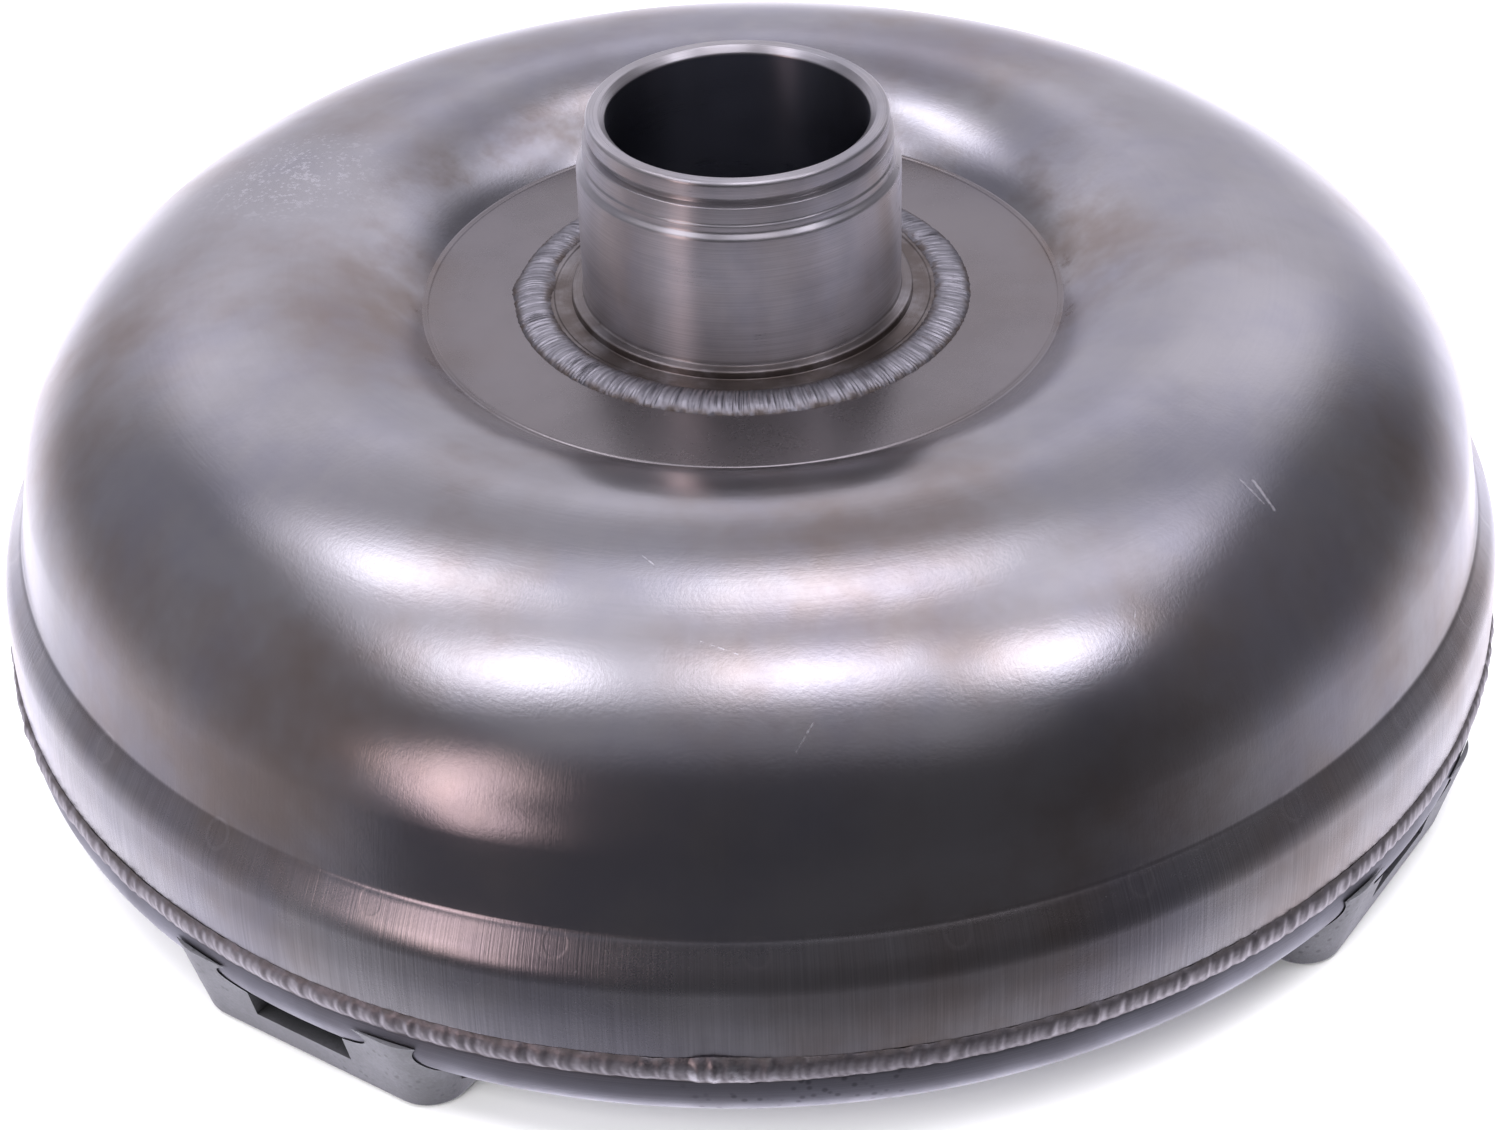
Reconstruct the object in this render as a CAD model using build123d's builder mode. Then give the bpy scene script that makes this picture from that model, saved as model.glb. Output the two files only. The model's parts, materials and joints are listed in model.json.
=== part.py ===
"""Torque converter for an off-highway transmission, 12-inch class.

Welded housing (pump shell, pump hub, front cover and four mounting lugs) around a turbine,
a stator on a roller clutch and three needle thrust bearings.
Millimetres. The lug faces lie on Z = 0 and +Z runs along the axis towards the pump hub.
"""

import math
import os

from build123d import *

os.makedirs("parts", exist_ok=True)

# ---------------------------------------------------------------- overall sizes
shell_r = 157.2  # outside of the skirt that overlaps the cover
seam_z = 28.0  # lower edge of the skirt, above the lug faces
shell_wall = 4.0
crest_r = 94.6  # ring where the pump shell is highest
crest_rise = 75.8  # heights above the seam
disc_r = 65.5  # flat pressed disc round the hub
disc_rise = 64.1
bulge_inset = 7.3  # widest ring of the pump torus, inside the skirt
bulge_rise = 32.2
crease_inset = 5.3
crease_rise = 23.5
shoulder_inset = 0.8
shoulder_rise = 17.5
bowl_power = 1.86  # exponent of the superelliptic bowl

# ---------------------------------------------------------------- pump hub
journal_r = 32.5  # oil seal and bushing journal
hub_wall = 6.25
hub_tip_rise = 105.9
hub_land_step = 1.5
hub_tip_step = 0.8
hub_collar_step = 2.3
hub_flange_width = 7.2
tip_ring_height = 3.4
seal_groove_width = 1.6
seal_groove_depth = 1.8
land_height = 3.6
journal_chamfer_height = 2.8
small_chamfer = 0.6

# ---------------------------------------------------------------- front cover
cover_wall = 5.0
cover_face_z = 10.0  # outside of the flat face
cover_floor_z = cover_face_z + cover_wall
cover_edge_r = 10.0  # rounding of the outer edge
cover_rim_wall = 7.0
cover_rim_rise = 14.0
rim_clearance = 0.05
seam_bevel = 4.0
locating_boss_r = 23.5
locating_boss_height = 2.0

# ---------------------------------------------------------------- mounting lugs
lug_count = 4
lug_first_angle = -124.5
lug_half_width = 30.0
lug_setback = 5.7  # from the skirt in to the lug
lug_length = 39.5
lug_draft = 14.0
lug_wall = 4.5
lug_floor = 4.0
lug_corner_r = 8.0
lug_height = 22.0
window_width = 23.0
window_sill = 7.5
bolt_setback = 19.5
bolt_hole_r = 5.25
nut_thread_r = 4.25
nut_flats = 17.0
nut_height = 5.0
lug_weld_leg = 3.0
lug_weld_setback = 4.0
lug_weld_length = 30.0

# ---------------------------------------------------------------- crank pilot
pilot_r = 25.0
pilot_z = 2.0
pilot_chamfer = 1.5
pilot_centre_r = 6.0
pilot_centre_depth = 5.0
pilot_flange_r = 29.0
pilot_flange = 2.0
pilot_weld_leg = 2.0

# ---------------------------------------------------------------- fluid circuit
mid_fall = 1.2  # from the torus's widest ring to the plane between pump and turbine
half_gap = 2.0
passage_width = 23.9  # from the pump shell's inside to the core ring
core_clearance = 1.0
core_half_height = 17.0
core_wall = 1.5
blade_thickness = 1.2
blade_inner_r = 64.0
stator_clear_r = 82.0  # inside this radius the blades stop short of the stator
stator_clear = 14.0
pump_blades = 27
turbine_blades_count = 25
blade_curve_r = 150.0

# ---------------------------------------------------------------- turbine
turbine_floor_clearance = 3.5
turbine_side_clearance = 2.4
turbine_wall = 2.0
turbine_flange_rise = 11.0
turbine_dish_r = 66.0
turbine_hub_r = 42.0
turbine_hub_flange_r = 60.0
turbine_hub_flange = 4.0
turbine_spline_minor_r = 16.5
turbine_spline_major_r = 18.2
turbine_spline_teeth = 27
rivet_count = 12
rivet_circle_r = 52.0
rivet_r = 3.0
rivet_head_r = 5.0
rivet_head = 2.0

# ---------------------------------------------------------------- stator and clutch
stator_half_height = 13.0
stator_bore_r = 44.0
stator_hub_r = 57.0
stator_ring_inner_r = 76.5
stator_ring_r = 79.0
stator_blade_count = 15
plate_r = 50.0
plate_thickness = 2.0
snap_ring_thickness = 1.2
snap_ring_inner_r = 47.5
snap_ring_r = 51.5
snap_ring_gap = 24.0
cam_inner_r = 34.5
snap_recess = 3.5
race_r = 31.0
race_shoulder_r = 27.0
plate_clearance = 0.05
race_end_clearance = 0.1
stator_spline_minor_r = 22.0
stator_spline_major_r = 23.6
stator_spline_teeth = 30
roller_count = 10
roller_r = 3.0
roller_clearance = 0.05
spring_pocket_r = 3.6
spring_thickness = 0.4

# ---------------------------------------------------------------- needle thrust bearings
bearing_height = 4.0
washer_thickness = 0.8
needle_clearance = 0.1
needle_count = 24
needle_margin = 1.5
cage_thickness = 1.5

# ---------------------------------------------------------------- sizes that follow
crest_z = seam_z + crest_rise
disc_z = seam_z + disc_rise
bulge_r = shell_r - bulge_inset
bulge_z = seam_z + bulge_rise
crease_r = shell_r - crease_inset
crease_z = seam_z + crease_rise
shoulder_r = shell_r - shoulder_inset
shoulder_z = seam_z + shoulder_rise
hub_bore_r = journal_r - hub_wall
hub_tip_z = seam_z + hub_tip_rise
hub_land_r = journal_r - hub_land_step
hub_tip_r = hub_land_r - hub_tip_step
hub_collar_r = journal_r + hub_collar_step
hub_flange_r = hub_collar_r + hub_flange_width
cover_rim_top = seam_z + cover_rim_rise
lug_outer = shell_r - lug_setback
lug_inner = lug_outer - lug_length
bolt_circle_r = lug_outer - bolt_setback
lug_weld_start = lug_inner + lug_weld_setback
mid_z = bulge_z - mid_fall
core_outer_r = bulge_r - shell_wall - passage_width
core_inner_r = stator_ring_r + core_clearance
core_r = (core_outer_r + core_inner_r) / 2
core_half_width = (core_outer_r - core_inner_r) / 2
stator_bottom = mid_z - stator_half_height
stator_top = mid_z + stator_half_height
cam_bottom = stator_bottom + plate_thickness
cam_top = stator_top - snap_recess
hub_face_z = cam_top + plate_thickness + bearing_height  # where the pump side bearing runs
turbine_crest_z = cover_floor_z + turbine_floor_clearance
turbine_side_r = bulge_r - shell_wall - turbine_side_clearance
turbine_side_z = mid_z - half_gap
turbine_flange_z = turbine_crest_z + turbine_flange_rise
turbine_hub_bottom = cover_floor_z + bearing_height
turbine_hub_top = stator_bottom - bearing_height
needle_r = (bearing_height - 2 * washer_thickness - 2 * needle_clearance) / 2


def save(piece, label):
    """Name a finished piece and write its STEP file."""
    piece.part.label = label
    export_step(piece.part, f"parts/{label}.step")


def bowl_points(top_z, side_r, side_z, steps=14):
    """Superelliptic quarter from the crest ring out to the widest ring."""
    points = []
    for step in range(steps + 1):
        turn = math.radians(90 * step / steps)
        across = math.sin(turn) ** (2 / bowl_power)
        height = math.cos(turn) ** (2 / bowl_power)
        points.append((crest_r + (side_r - crest_r) * across, side_z + (top_z - side_z) * height))
    return points


def bowl(top_z, side_r, side_z):
    """Bowl curve as a spline, level at the crest and upright at the side."""
    away = 1 if side_z > top_z else -1
    return Spline(*bowl_points(top_z, side_r, side_z), tangents=[(1, 0), (0, away)])


# ================================================================ pump shell
dish_arc_r = ((crest_r - disc_r) ** 2 + (crest_z - disc_z) ** 2) / (2 * (crest_z - disc_z))
dish_inner_arc_r = dish_arc_r - shell_wall
dish_inner_fall = dish_inner_arc_r - (crest_z - disc_z)
dish_inner_r = crest_r - math.sqrt(dish_inner_arc_r**2 - dish_inner_fall**2)
skirt_inner_r = shell_r - shell_wall
hub_bevel = 2.6

with BuildPart() as impeller_shell:
    with BuildSketch(Plane.XZ):
        with BuildLine():
            Polyline(
                (hub_flange_r, disc_z - shell_wall),
                (hub_flange_r, disc_z - hub_bevel),
                (hub_flange_r + hub_bevel, disc_z),
                (disc_r, disc_z),
            )
            TangentArc((crest_r, crest_z), (disc_r, disc_z), tangent=(-1, 0))
            bowl(crest_z, bulge_r, bulge_z)
            Polyline(
                (bulge_r, bulge_z),
                (crease_r, crease_z),
                (shoulder_r, shoulder_z),
                (shell_r, seam_z),
                (skirt_inner_r, seam_z),
                (skirt_inner_r, shoulder_z - 2.4),
                (crease_r - 3.2, crease_z - 2.4),
                (crease_r - shell_wall, crease_z + 1.0),
                (bulge_r - shell_wall, bulge_z),
            )
            bowl(crest_z - shell_wall, bulge_r - shell_wall, bulge_z)
            TangentArc(
                (crest_r, crest_z - shell_wall),
                (dish_inner_r, disc_z - shell_wall),
                tangent=(-1, 0),
            )
            Line((dish_inner_r, disc_z - shell_wall), (hub_flange_r, disc_z - shell_wall))
        make_face()
    revolve(axis=Axis.Z)
save(impeller_shell, "impeller_shell")

# ================================================================ pump hub
groove_top_z = hub_tip_z - tip_ring_height
groove_low_z = groove_top_z - seal_groove_width
land_low_z = groove_low_z - land_height
journal_top_z = land_low_z - journal_chamfer_height
flange_top_z = disc_z + 1.0
journal_low_z = flange_top_z + 1.4
hub_bore_chamfer = 1.3

with BuildPart() as pump_hub:
    with BuildSketch(Plane.XZ):
        with BuildLine():
            Polyline(
                (hub_bore_r, hub_face_z),
                (hub_flange_r - small_chamfer, hub_face_z),
                (hub_flange_r, hub_face_z + small_chamfer),
                (hub_flange_r, flange_top_z - hub_bevel),
                (hub_flange_r - hub_bevel, flange_top_z),
                (hub_collar_r, flange_top_z),
                (hub_collar_r, journal_low_z - small_chamfer),
                (hub_collar_r - small_chamfer, journal_low_z),
                (journal_r, journal_low_z),
                (journal_r, journal_top_z),
                (hub_land_r, land_low_z),
                (hub_land_r, groove_low_z),
                (hub_land_r - seal_groove_depth, groove_low_z),
                (hub_land_r - seal_groove_depth, groove_top_z),
                (hub_tip_r, groove_top_z),
                (hub_tip_r, hub_tip_z - small_chamfer),
                (hub_tip_r - small_chamfer, hub_tip_z),
                (hub_bore_r + hub_bore_chamfer, hub_tip_z),
                (hub_bore_r, hub_tip_z - hub_bore_chamfer),
                (hub_bore_r, hub_face_z),
            )
        make_face()
    revolve(axis=Axis.Z)
save(pump_hub, "pump_hub")

# ================================================================ hub weld
hub_weld_r = hub_flange_r + 4.7
hub_weld_crown = 1.1

with BuildPart() as hub_weld_bead:
    with BuildSketch(Plane.XZ):
        with BuildLine():
            Polyline(
                (hub_weld_r, disc_z),
                (hub_flange_r + hub_bevel, disc_z),
                (hub_flange_r, disc_z - hub_bevel),
                (hub_flange_r, flange_top_z - hub_bevel),
                (hub_flange_r - hub_bevel, flange_top_z),
            )
            ThreePointArc(
                (hub_flange_r - hub_bevel, flange_top_z),
                ((hub_flange_r - hub_bevel + hub_weld_r) / 2, flange_top_z - 0.5 + hub_weld_crown),
                (hub_weld_r, disc_z),
            )
        make_face()
    revolve(axis=Axis.Z)
save(hub_weld_bead, "hub_weld_bead")

# ================================================================ front cover
rim_r = skirt_inner_r - rim_clearance
rim_inner_r = skirt_inner_r - cover_rim_wall
side_low_z = cover_face_z + cover_edge_r
bevel_low_z = seam_z - 5.0
bevel_top_z = bevel_low_z + seam_bevel
floor_corner_r = 7.0

with BuildPart() as front_cover:
    with BuildSketch(Plane.XZ):
        with BuildLine():
            Line((0, cover_face_z), (shell_r - cover_edge_r, cover_face_z))
            CenterArc((shell_r - cover_edge_r, side_low_z), cover_edge_r, -90, 90)
            Polyline(
                (shell_r, side_low_z),
                (shell_r, bevel_low_z),
                (rim_r, bevel_top_z),
                (rim_r, cover_rim_top),
                (rim_inner_r, cover_rim_top),
                (rim_inner_r, cover_floor_z + floor_corner_r),
            )
            CenterArc(
                (rim_inner_r - floor_corner_r, cover_floor_z + floor_corner_r),
                floor_corner_r,
                -90,
                90,
            )
            Polyline(
                (rim_inner_r - floor_corner_r, cover_floor_z),
                (locating_boss_r, cover_floor_z),
                (locating_boss_r, cover_floor_z + locating_boss_height),
                (0, cover_floor_z + locating_boss_height),
                (0, cover_face_z),
            )
        make_face()
    revolve(axis=Axis.Z)
save(front_cover, "front_cover")

# ================================================================ seam weld
seam_weld_r = shell_r + 1.6

with BuildPart() as seam_weld_bead:
    with BuildSketch(Plane.XZ):
        with BuildLine():
            Polyline(
                (shell_r, seam_z),
                (rim_r, seam_z),
                (rim_r, bevel_top_z),
                (shell_r, bevel_low_z),
            )
            ThreePointArc(
                (shell_r, bevel_low_z),
                (seam_weld_r, (bevel_low_z + seam_z) / 2),
                (shell_r, seam_z),
            )
        make_face()
    revolve(axis=Axis.Z)
save(seam_weld_bead, "seam_weld_bead")


# ================================================================ mounting lugs
def lug_plane(angle, height=0.0):
    """Horizontal plane whose X runs outwards along one lug."""
    outward = (math.cos(math.radians(angle)), math.sin(math.radians(angle)), 0)
    return Plane(origin=(0, 0, height), x_dir=outward, z_dir=(0, 0, 1))


def lug_cross_plane(angle, distance):
    """Upright plane across one lug, facing outwards: X is sideways and Y is up."""
    outward = Vector(math.cos(math.radians(angle)), math.sin(math.radians(angle)), 0)
    sideways = (-outward.Y, outward.X, 0)
    return Plane(origin=outward * distance, x_dir=sideways, z_dir=outward)


def lug_outline(margin):
    """Plan of a lug, shrunk by a margin on every side."""
    length = lug_outer - lug_inner - 2 * margin
    with Locations(((lug_outer + lug_inner) / 2, 0)):
        RectangleRounded(length, 2 * (lug_half_width - margin), lug_corner_r - margin)


with BuildPart() as cover_space:
    with BuildSketch(Plane.XZ):
        with BuildLine():
            Line((0, cover_face_z), (shell_r - cover_edge_r, cover_face_z))
            CenterArc((shell_r - cover_edge_r, side_low_z), cover_edge_r, -90, 90)
            Polyline(
                (shell_r, side_low_z),
                (shell_r + 20, side_low_z),
                (shell_r + 20, side_low_z + 20),
                (0, side_low_z + 20),
                (0, cover_face_z),
            )
        make_face()
    revolve(axis=Axis.Z)


def mounting_lug(angle):
    """Pressed pan with a tool window, cut to sit against the cover's edge."""
    with BuildPart() as lug:
        with BuildSketch(lug_plane(angle)):
            lug_outline(0)
        extrude(amount=lug_height, taper=-lug_draft)
        fillet(lug.faces().sort_by(Axis.Z)[0].edges(), 2.0)
        with BuildSketch(lug_plane(angle, lug_floor)):
            lug_outline(lug_wall - lug_floor * math.tan(math.radians(lug_draft)))
        extrude(amount=lug_height, taper=-lug_draft, mode=Mode.SUBTRACT)
        with BuildSketch(lug_plane(angle)):
            with Locations((bolt_circle_r, 0)):
                Circle(bolt_hole_r)
        extrude(amount=lug_floor, mode=Mode.SUBTRACT)
        with BuildSketch(lug_cross_plane(angle, lug_outer - lug_wall - 3)):
            with Locations((0, window_sill)):
                Rectangle(window_width, lug_height, align=(Align.CENTER, Align.MIN))
        extrude(amount=30, mode=Mode.SUBTRACT)
        add(cover_space.part, mode=Mode.SUBTRACT)
    return lug


lug_angles = [lug_first_angle + 360 / lug_count * index for index in range(lug_count)]
for number, angle in enumerate(lug_angles, start=1):
    save(mounting_lug(angle), f"mounting_lug_{number}")

# ================================================================ lug nuts and lug welds
with BuildPart() as lug_nuts:
    for angle in lug_angles:
        with BuildSketch(lug_plane(angle, lug_floor)):
            with Locations((bolt_circle_r, 0)):
                RegularPolygon(nut_flats / 2, 6, major_radius=False)
                Circle(nut_thread_r, mode=Mode.SUBTRACT)
        extrude(amount=nut_height)
save(lug_nuts, "lug_weld_nuts")

flank_top = lug_half_width + cover_face_z * math.tan(math.radians(lug_draft))
flank_low = flank_top - lug_weld_leg * math.tan(math.radians(lug_draft))

with BuildPart() as lug_welds:
    for angle in lug_angles:
        for side in (-1, 1):
            with BuildSketch(lug_cross_plane(angle, lug_weld_start)):
                with BuildLine():
                    Polyline(
                        (side * flank_top, cover_face_z),
                        (side * flank_low, cover_face_z - lug_weld_leg),
                        (side * (flank_top + lug_weld_leg), cover_face_z),
                        close=True,
                    )
                make_face()
            extrude(amount=lug_weld_length)
save(lug_welds, "lug_weld_beads")

# ================================================================ crank pilot
with BuildPart() as crank_pilot:
    with BuildSketch(Plane.XY.offset(pilot_z)):
        Circle(pilot_r)
    extrude(amount=cover_face_z - pilot_z)
    chamfer(crank_pilot.edges().sort_by(Axis.Z)[0], pilot_chamfer)
    with BuildSketch(Plane.XY.offset(cover_face_z - pilot_flange)):
        Circle(pilot_flange_r)
    extrude(amount=pilot_flange)
    with BuildSketch(Plane.XY.offset(pilot_z)):
        Circle(pilot_centre_r)
    extrude(amount=pilot_centre_depth, mode=Mode.SUBTRACT)
save(crank_pilot, "crank_pilot")

with BuildPart() as pilot_weld_bead:
    with BuildSketch(Plane.XZ):
        with BuildLine():
            Polyline(
                (pilot_flange_r, cover_face_z),
                (pilot_flange_r, cover_face_z - pilot_weld_leg),
                (pilot_flange_r + pilot_weld_leg, cover_face_z),
                close=True,
            )
        make_face()
    revolve(axis=Axis.Z)
save(pilot_weld_bead, "pilot_weld_bead")


# ================================================================ bladed wheels
def core_ring(side):
    """Half of the core ring: side is 1 for the pump half and -1 for the turbine half."""
    cut_z = mid_z + side * half_gap
    with BuildPart() as ring:
        with BuildSketch(Plane.XZ):
            with Locations((core_r, mid_z)):
                Ellipse(core_half_width, core_half_height)
                Ellipse(core_half_width - core_wall, core_half_height - core_wall, mode=Mode.SUBTRACT)
            with Locations((core_r, cut_z - side * core_half_height)):
                Rectangle(3 * core_half_width, 2 * core_half_height, mode=Mode.SUBTRACT)
        revolve(axis=Axis.Z)
    return ring


def blade_ring(side, top_z, side_r, side_z, dish_r, dish_z, count):
    """Thin curved vanes that fill the passage between a shell and its core ring."""
    with BuildSketch() as strip:
        with BuildLine():
            RadiusArc((blade_inner_r - 10, 0), (shell_r, 0), side * blade_curve_r)
        trace(line_width=blade_thickness)
    with BuildPart() as vanes:
        with BuildSketch(Plane.XZ):
            with BuildLine():
                bowl(top_z, side_r, side_z)
                TangentArc((crest_r, top_z), (dish_r, dish_z), tangent=(-1, 0))
                Polyline(
                    (dish_r, dish_z),
                    (blade_inner_r, dish_z),
                    (blade_inner_r, mid_z),
                    (side_r, mid_z),
                    (side_r, side_z),
                )
            make_face()
            with Locations((core_r, mid_z)):
                Ellipse(core_half_width, core_half_height, mode=Mode.SUBTRACT)
            with Locations((stator_clear_r / 2, mid_z)):
                Rectangle(stator_clear_r, 2 * stator_clear, mode=Mode.SUBTRACT)
            with Locations((core_r, mid_z)):
                Rectangle(shell_r, 2 * half_gap, mode=Mode.SUBTRACT)
        revolve(axis=Axis.Z)
        with BuildSketch(Plane.XY):
            with PolarLocations(0, count):
                add(strip.sketch)
        extrude(amount=2 * mid_z, mode=Mode.INTERSECT)
    return vanes


save(core_ring(1), "impeller_core_ring")
save(
    blade_ring(
        1,
        crest_z - shell_wall,
        bulge_r - shell_wall,
        bulge_z,
        dish_inner_r,
        disc_z - shell_wall,
        pump_blades,
    ),
    "impeller_blades",
)

# ================================================================ turbine
turbine_flange_top = turbine_flange_z + turbine_wall
turbine_dish_fall = turbine_flange_z - turbine_crest_z
turbine_arc_r = ((crest_r - turbine_dish_r) ** 2 + turbine_dish_fall**2) / (2 * turbine_dish_fall)
turbine_inner_arc_r = turbine_arc_r - turbine_wall
turbine_inner_fall = turbine_inner_arc_r - turbine_dish_fall
turbine_inner_dish_r = crest_r - math.sqrt(turbine_inner_arc_r**2 - turbine_inner_fall**2)

with BuildPart() as turbine_shell:
    with BuildSketch(Plane.XZ):
        with BuildLine():
            Line((turbine_hub_r, turbine_flange_z), (turbine_dish_r, turbine_flange_z))
            TangentArc((crest_r, turbine_crest_z), (turbine_dish_r, turbine_flange_z), tangent=(-1, 0))
            bowl(turbine_crest_z, turbine_side_r, turbine_side_z)
            Line((turbine_side_r, turbine_side_z), (turbine_side_r - turbine_wall, turbine_side_z))
            bowl(turbine_crest_z + turbine_wall, turbine_side_r - turbine_wall, turbine_side_z)
            TangentArc(
                (crest_r, turbine_crest_z + turbine_wall),
                (turbine_inner_dish_r, turbine_flange_top),
                tangent=(-1, 0),
            )
            Polyline(
                (turbine_inner_dish_r, turbine_flange_top),
                (turbine_hub_r, turbine_flange_top),
                (turbine_hub_r, turbine_flange_z),
            )
        make_face()
    revolve(axis=Axis.Z)
    with BuildSketch(Plane.XY.offset(turbine_flange_z)):
        with PolarLocations(rivet_circle_r, rivet_count):
            Circle(rivet_r)
    extrude(amount=turbine_wall, mode=Mode.SUBTRACT)
save(turbine_shell, "turbine_shell")

save(core_ring(-1), "turbine_core_ring")
save(
    blade_ring(
        -1,
        turbine_crest_z + turbine_wall,
        turbine_side_r - turbine_wall,
        turbine_side_z,
        turbine_inner_dish_r,
        turbine_flange_top,
        turbine_blades_count,
    ),
    "turbine_blades",
)


def spline_bore(minor_r, major_r, teeth):
    """Straight-sided internal spline: the bore circle with a slot at every tooth space."""
    Circle(minor_r)
    slot_width = math.pi * minor_r / teeth
    with PolarLocations((minor_r + major_r) / 2 - 1, teeth):
        Rectangle(major_r - minor_r + 2, slot_width)


with BuildPart() as turbine_hub:
    with BuildSketch(Plane.XY.offset(turbine_hub_bottom)):
        Circle(turbine_hub_r)
    extrude(amount=turbine_hub_top - turbine_hub_bottom)
    with BuildSketch(Plane.XY.offset(turbine_flange_top)):
        Circle(turbine_hub_flange_r)
    extrude(amount=turbine_hub_flange)
    with BuildSketch(Plane.XY.offset(turbine_flange_top)):
        with PolarLocations(rivet_circle_r, rivet_count):
            Circle(rivet_r)
    extrude(amount=turbine_hub_flange, mode=Mode.SUBTRACT)
    with BuildSketch(Plane.XY.offset(turbine_hub_bottom)):
        spline_bore(turbine_spline_minor_r, turbine_spline_major_r, turbine_spline_teeth)
    extrude(amount=turbine_hub_top - turbine_hub_bottom, mode=Mode.SUBTRACT)
save(turbine_hub, "turbine_hub")

rivet_grip = turbine_wall + turbine_hub_flange

with BuildPart() as turbine_rivets:
    with BuildSketch(Plane.XY.offset(turbine_flange_z - rivet_head)):
        with PolarLocations(rivet_circle_r, rivet_count):
            Circle(rivet_head_r)
    extrude(amount=rivet_head)
    with BuildSketch(Plane.XY.offset(turbine_flange_z)):
        with PolarLocations(rivet_circle_r, rivet_count):
            Circle(rivet_r)
    extrude(amount=rivet_grip)
    with BuildSketch(Plane.XY.offset(turbine_flange_z + rivet_grip)):
        with PolarLocations(rivet_circle_r, rivet_count):
            Circle(rivet_head_r)
    extrude(amount=rivet_head)
save(turbine_rivets, "turbine_rivets")

# ================================================================ stator wheel
blade_low = (-7.0, cam_bottom + 1.0)
blade_high = (5.0, cam_top - 0.5)

with BuildPart() as stator_blade:
    with BuildSketch(Plane.YZ.offset(stator_hub_r - 1)):
        with BuildLine():
            Spline(blade_low, (-5.5, mid_z - 1), blade_high, tangents=[(0.3, 1), (1, 0.7)])
            Spline(blade_high, (-0.5, mid_z), blade_low, tangents=[(-0.6, -1), (-0.9, -0.5)])
        make_face()
    extrude(amount=stator_ring_inner_r - stator_hub_r + 2)

with BuildPart() as stator_wheel:
    with BuildSketch(Plane.XY.offset(stator_bottom)):
        Circle(stator_hub_r)
        Circle(stator_bore_r, mode=Mode.SUBTRACT)
    extrude(amount=stator_top - stator_bottom)
    with BuildSketch(Plane.XY.offset(stator_bottom)):
        Circle(plate_r)
    extrude(amount=plate_thickness, mode=Mode.SUBTRACT)
    with BuildSketch(Plane.XY.offset(cam_top)):
        Circle(plate_r)
    extrude(amount=stator_top - cam_top, mode=Mode.SUBTRACT)
    with BuildSketch(Plane.XY.offset(cam_top + plate_thickness)):
        Circle(snap_ring_r)
    extrude(amount=snap_ring_thickness, mode=Mode.SUBTRACT)
    with PolarLocations(0, stator_blade_count):
        add(stator_blade.part)
    with BuildSketch(Plane.XY.offset(cam_bottom)):
        Circle(stator_ring_r)
        Circle(stator_ring_inner_r, mode=Mode.SUBTRACT)
    extrude(amount=cam_top - cam_bottom)
save(stator_wheel, "stator_wheel")

# ================================================================ one-way clutch
roller_circle_r = race_r + roller_clearance + roller_r
clutch_height = cam_top - cam_bottom
pocket_centre_r = roller_circle_r - 0.1
spring_pocket_at = (roller_circle_r - 1.0, 8.6)

with BuildSketch() as roller_pocket:
    with BuildLine(mode=Mode.PRIVATE) as pocket_ends:
        CenterArc((pocket_centre_r, 0), roller_r + 0.1, 0, 360)
        CenterArc(spring_pocket_at, spring_pocket_r, 0, 360)
    make_hull(pocket_ends.line.edges())

with BuildPart() as clutch_cam_ring:
    with BuildSketch(Plane.XY.offset(cam_bottom)):
        Circle(stator_bore_r)
        Circle(cam_inner_r, mode=Mode.SUBTRACT)
        with PolarLocations(0, roller_count):
            add(roller_pocket.sketch, mode=Mode.SUBTRACT)
    extrude(amount=clutch_height)
save(clutch_cam_ring, "clutch_cam_ring")

with BuildPart() as clutch_rollers:
    with BuildSketch(Plane.XY.offset(cam_bottom)):
        with PolarLocations(roller_circle_r, roller_count):
            Circle(roller_r)
    extrude(amount=clutch_height)
save(clutch_rollers, "clutch_rollers")

spring_start = roller_r + spring_thickness
spring_swing = 1.3
spring_end = spring_pocket_at[1] + spring_pocket_r - spring_thickness / 2
spring_pitch = (spring_end - spring_start) / 5

with BuildSketch() as spring_leaf:
    with BuildLine() as leaf_line:
        Polyline(
            (roller_circle_r - spring_swing, spring_start - spring_thickness / 2),
            (roller_circle_r + spring_swing, spring_start - spring_thickness / 2),
            (roller_circle_r - spring_swing, spring_start + 2 * spring_pitch),
            (roller_circle_r + spring_swing, spring_start + 3 * spring_pitch),
            (spring_pocket_at[0], spring_end),
        )
    trace(leaf_line.line, line_width=spring_thickness)

with BuildPart() as clutch_springs:
    with BuildSketch(Plane.XY.offset(cam_bottom + 4)):
        with PolarLocations(0, roller_count):
            add(spring_leaf.sketch)
    extrude(amount=clutch_height - 8)
save(clutch_springs, "clutch_springs")

race_bottom = stator_bottom + race_end_clearance
race_top = cam_top + plate_thickness - race_end_clearance

with BuildPart() as clutch_inner_race:
    with BuildSketch(Plane.XY.offset(race_bottom)):
        Circle(race_shoulder_r)
    extrude(amount=race_top - race_bottom)
    with BuildSketch(Plane.XY.offset(cam_bottom + race_end_clearance)):
        Circle(race_r)
    extrude(amount=clutch_height - 2 * race_end_clearance)
    with BuildSketch(Plane.XY.offset(race_bottom)):
        spline_bore(stator_spline_minor_r, stator_spline_major_r, stator_spline_teeth)
    extrude(amount=race_top - race_bottom, mode=Mode.SUBTRACT)
save(clutch_inner_race, "clutch_inner_race")


def side_plate(bottom):
    """Bushing plate that carries the stator on the shoulder of the inner race."""
    with BuildPart() as plate:
        with BuildSketch(Plane.XY.offset(bottom)):
            Circle(plate_r)
            Circle(race_shoulder_r + plate_clearance, mode=Mode.SUBTRACT)
        extrude(amount=plate_thickness)
    return plate


save(side_plate(stator_bottom), "stator_plate_cover_side")
save(side_plate(cam_top), "stator_plate_pump_side")

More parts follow.
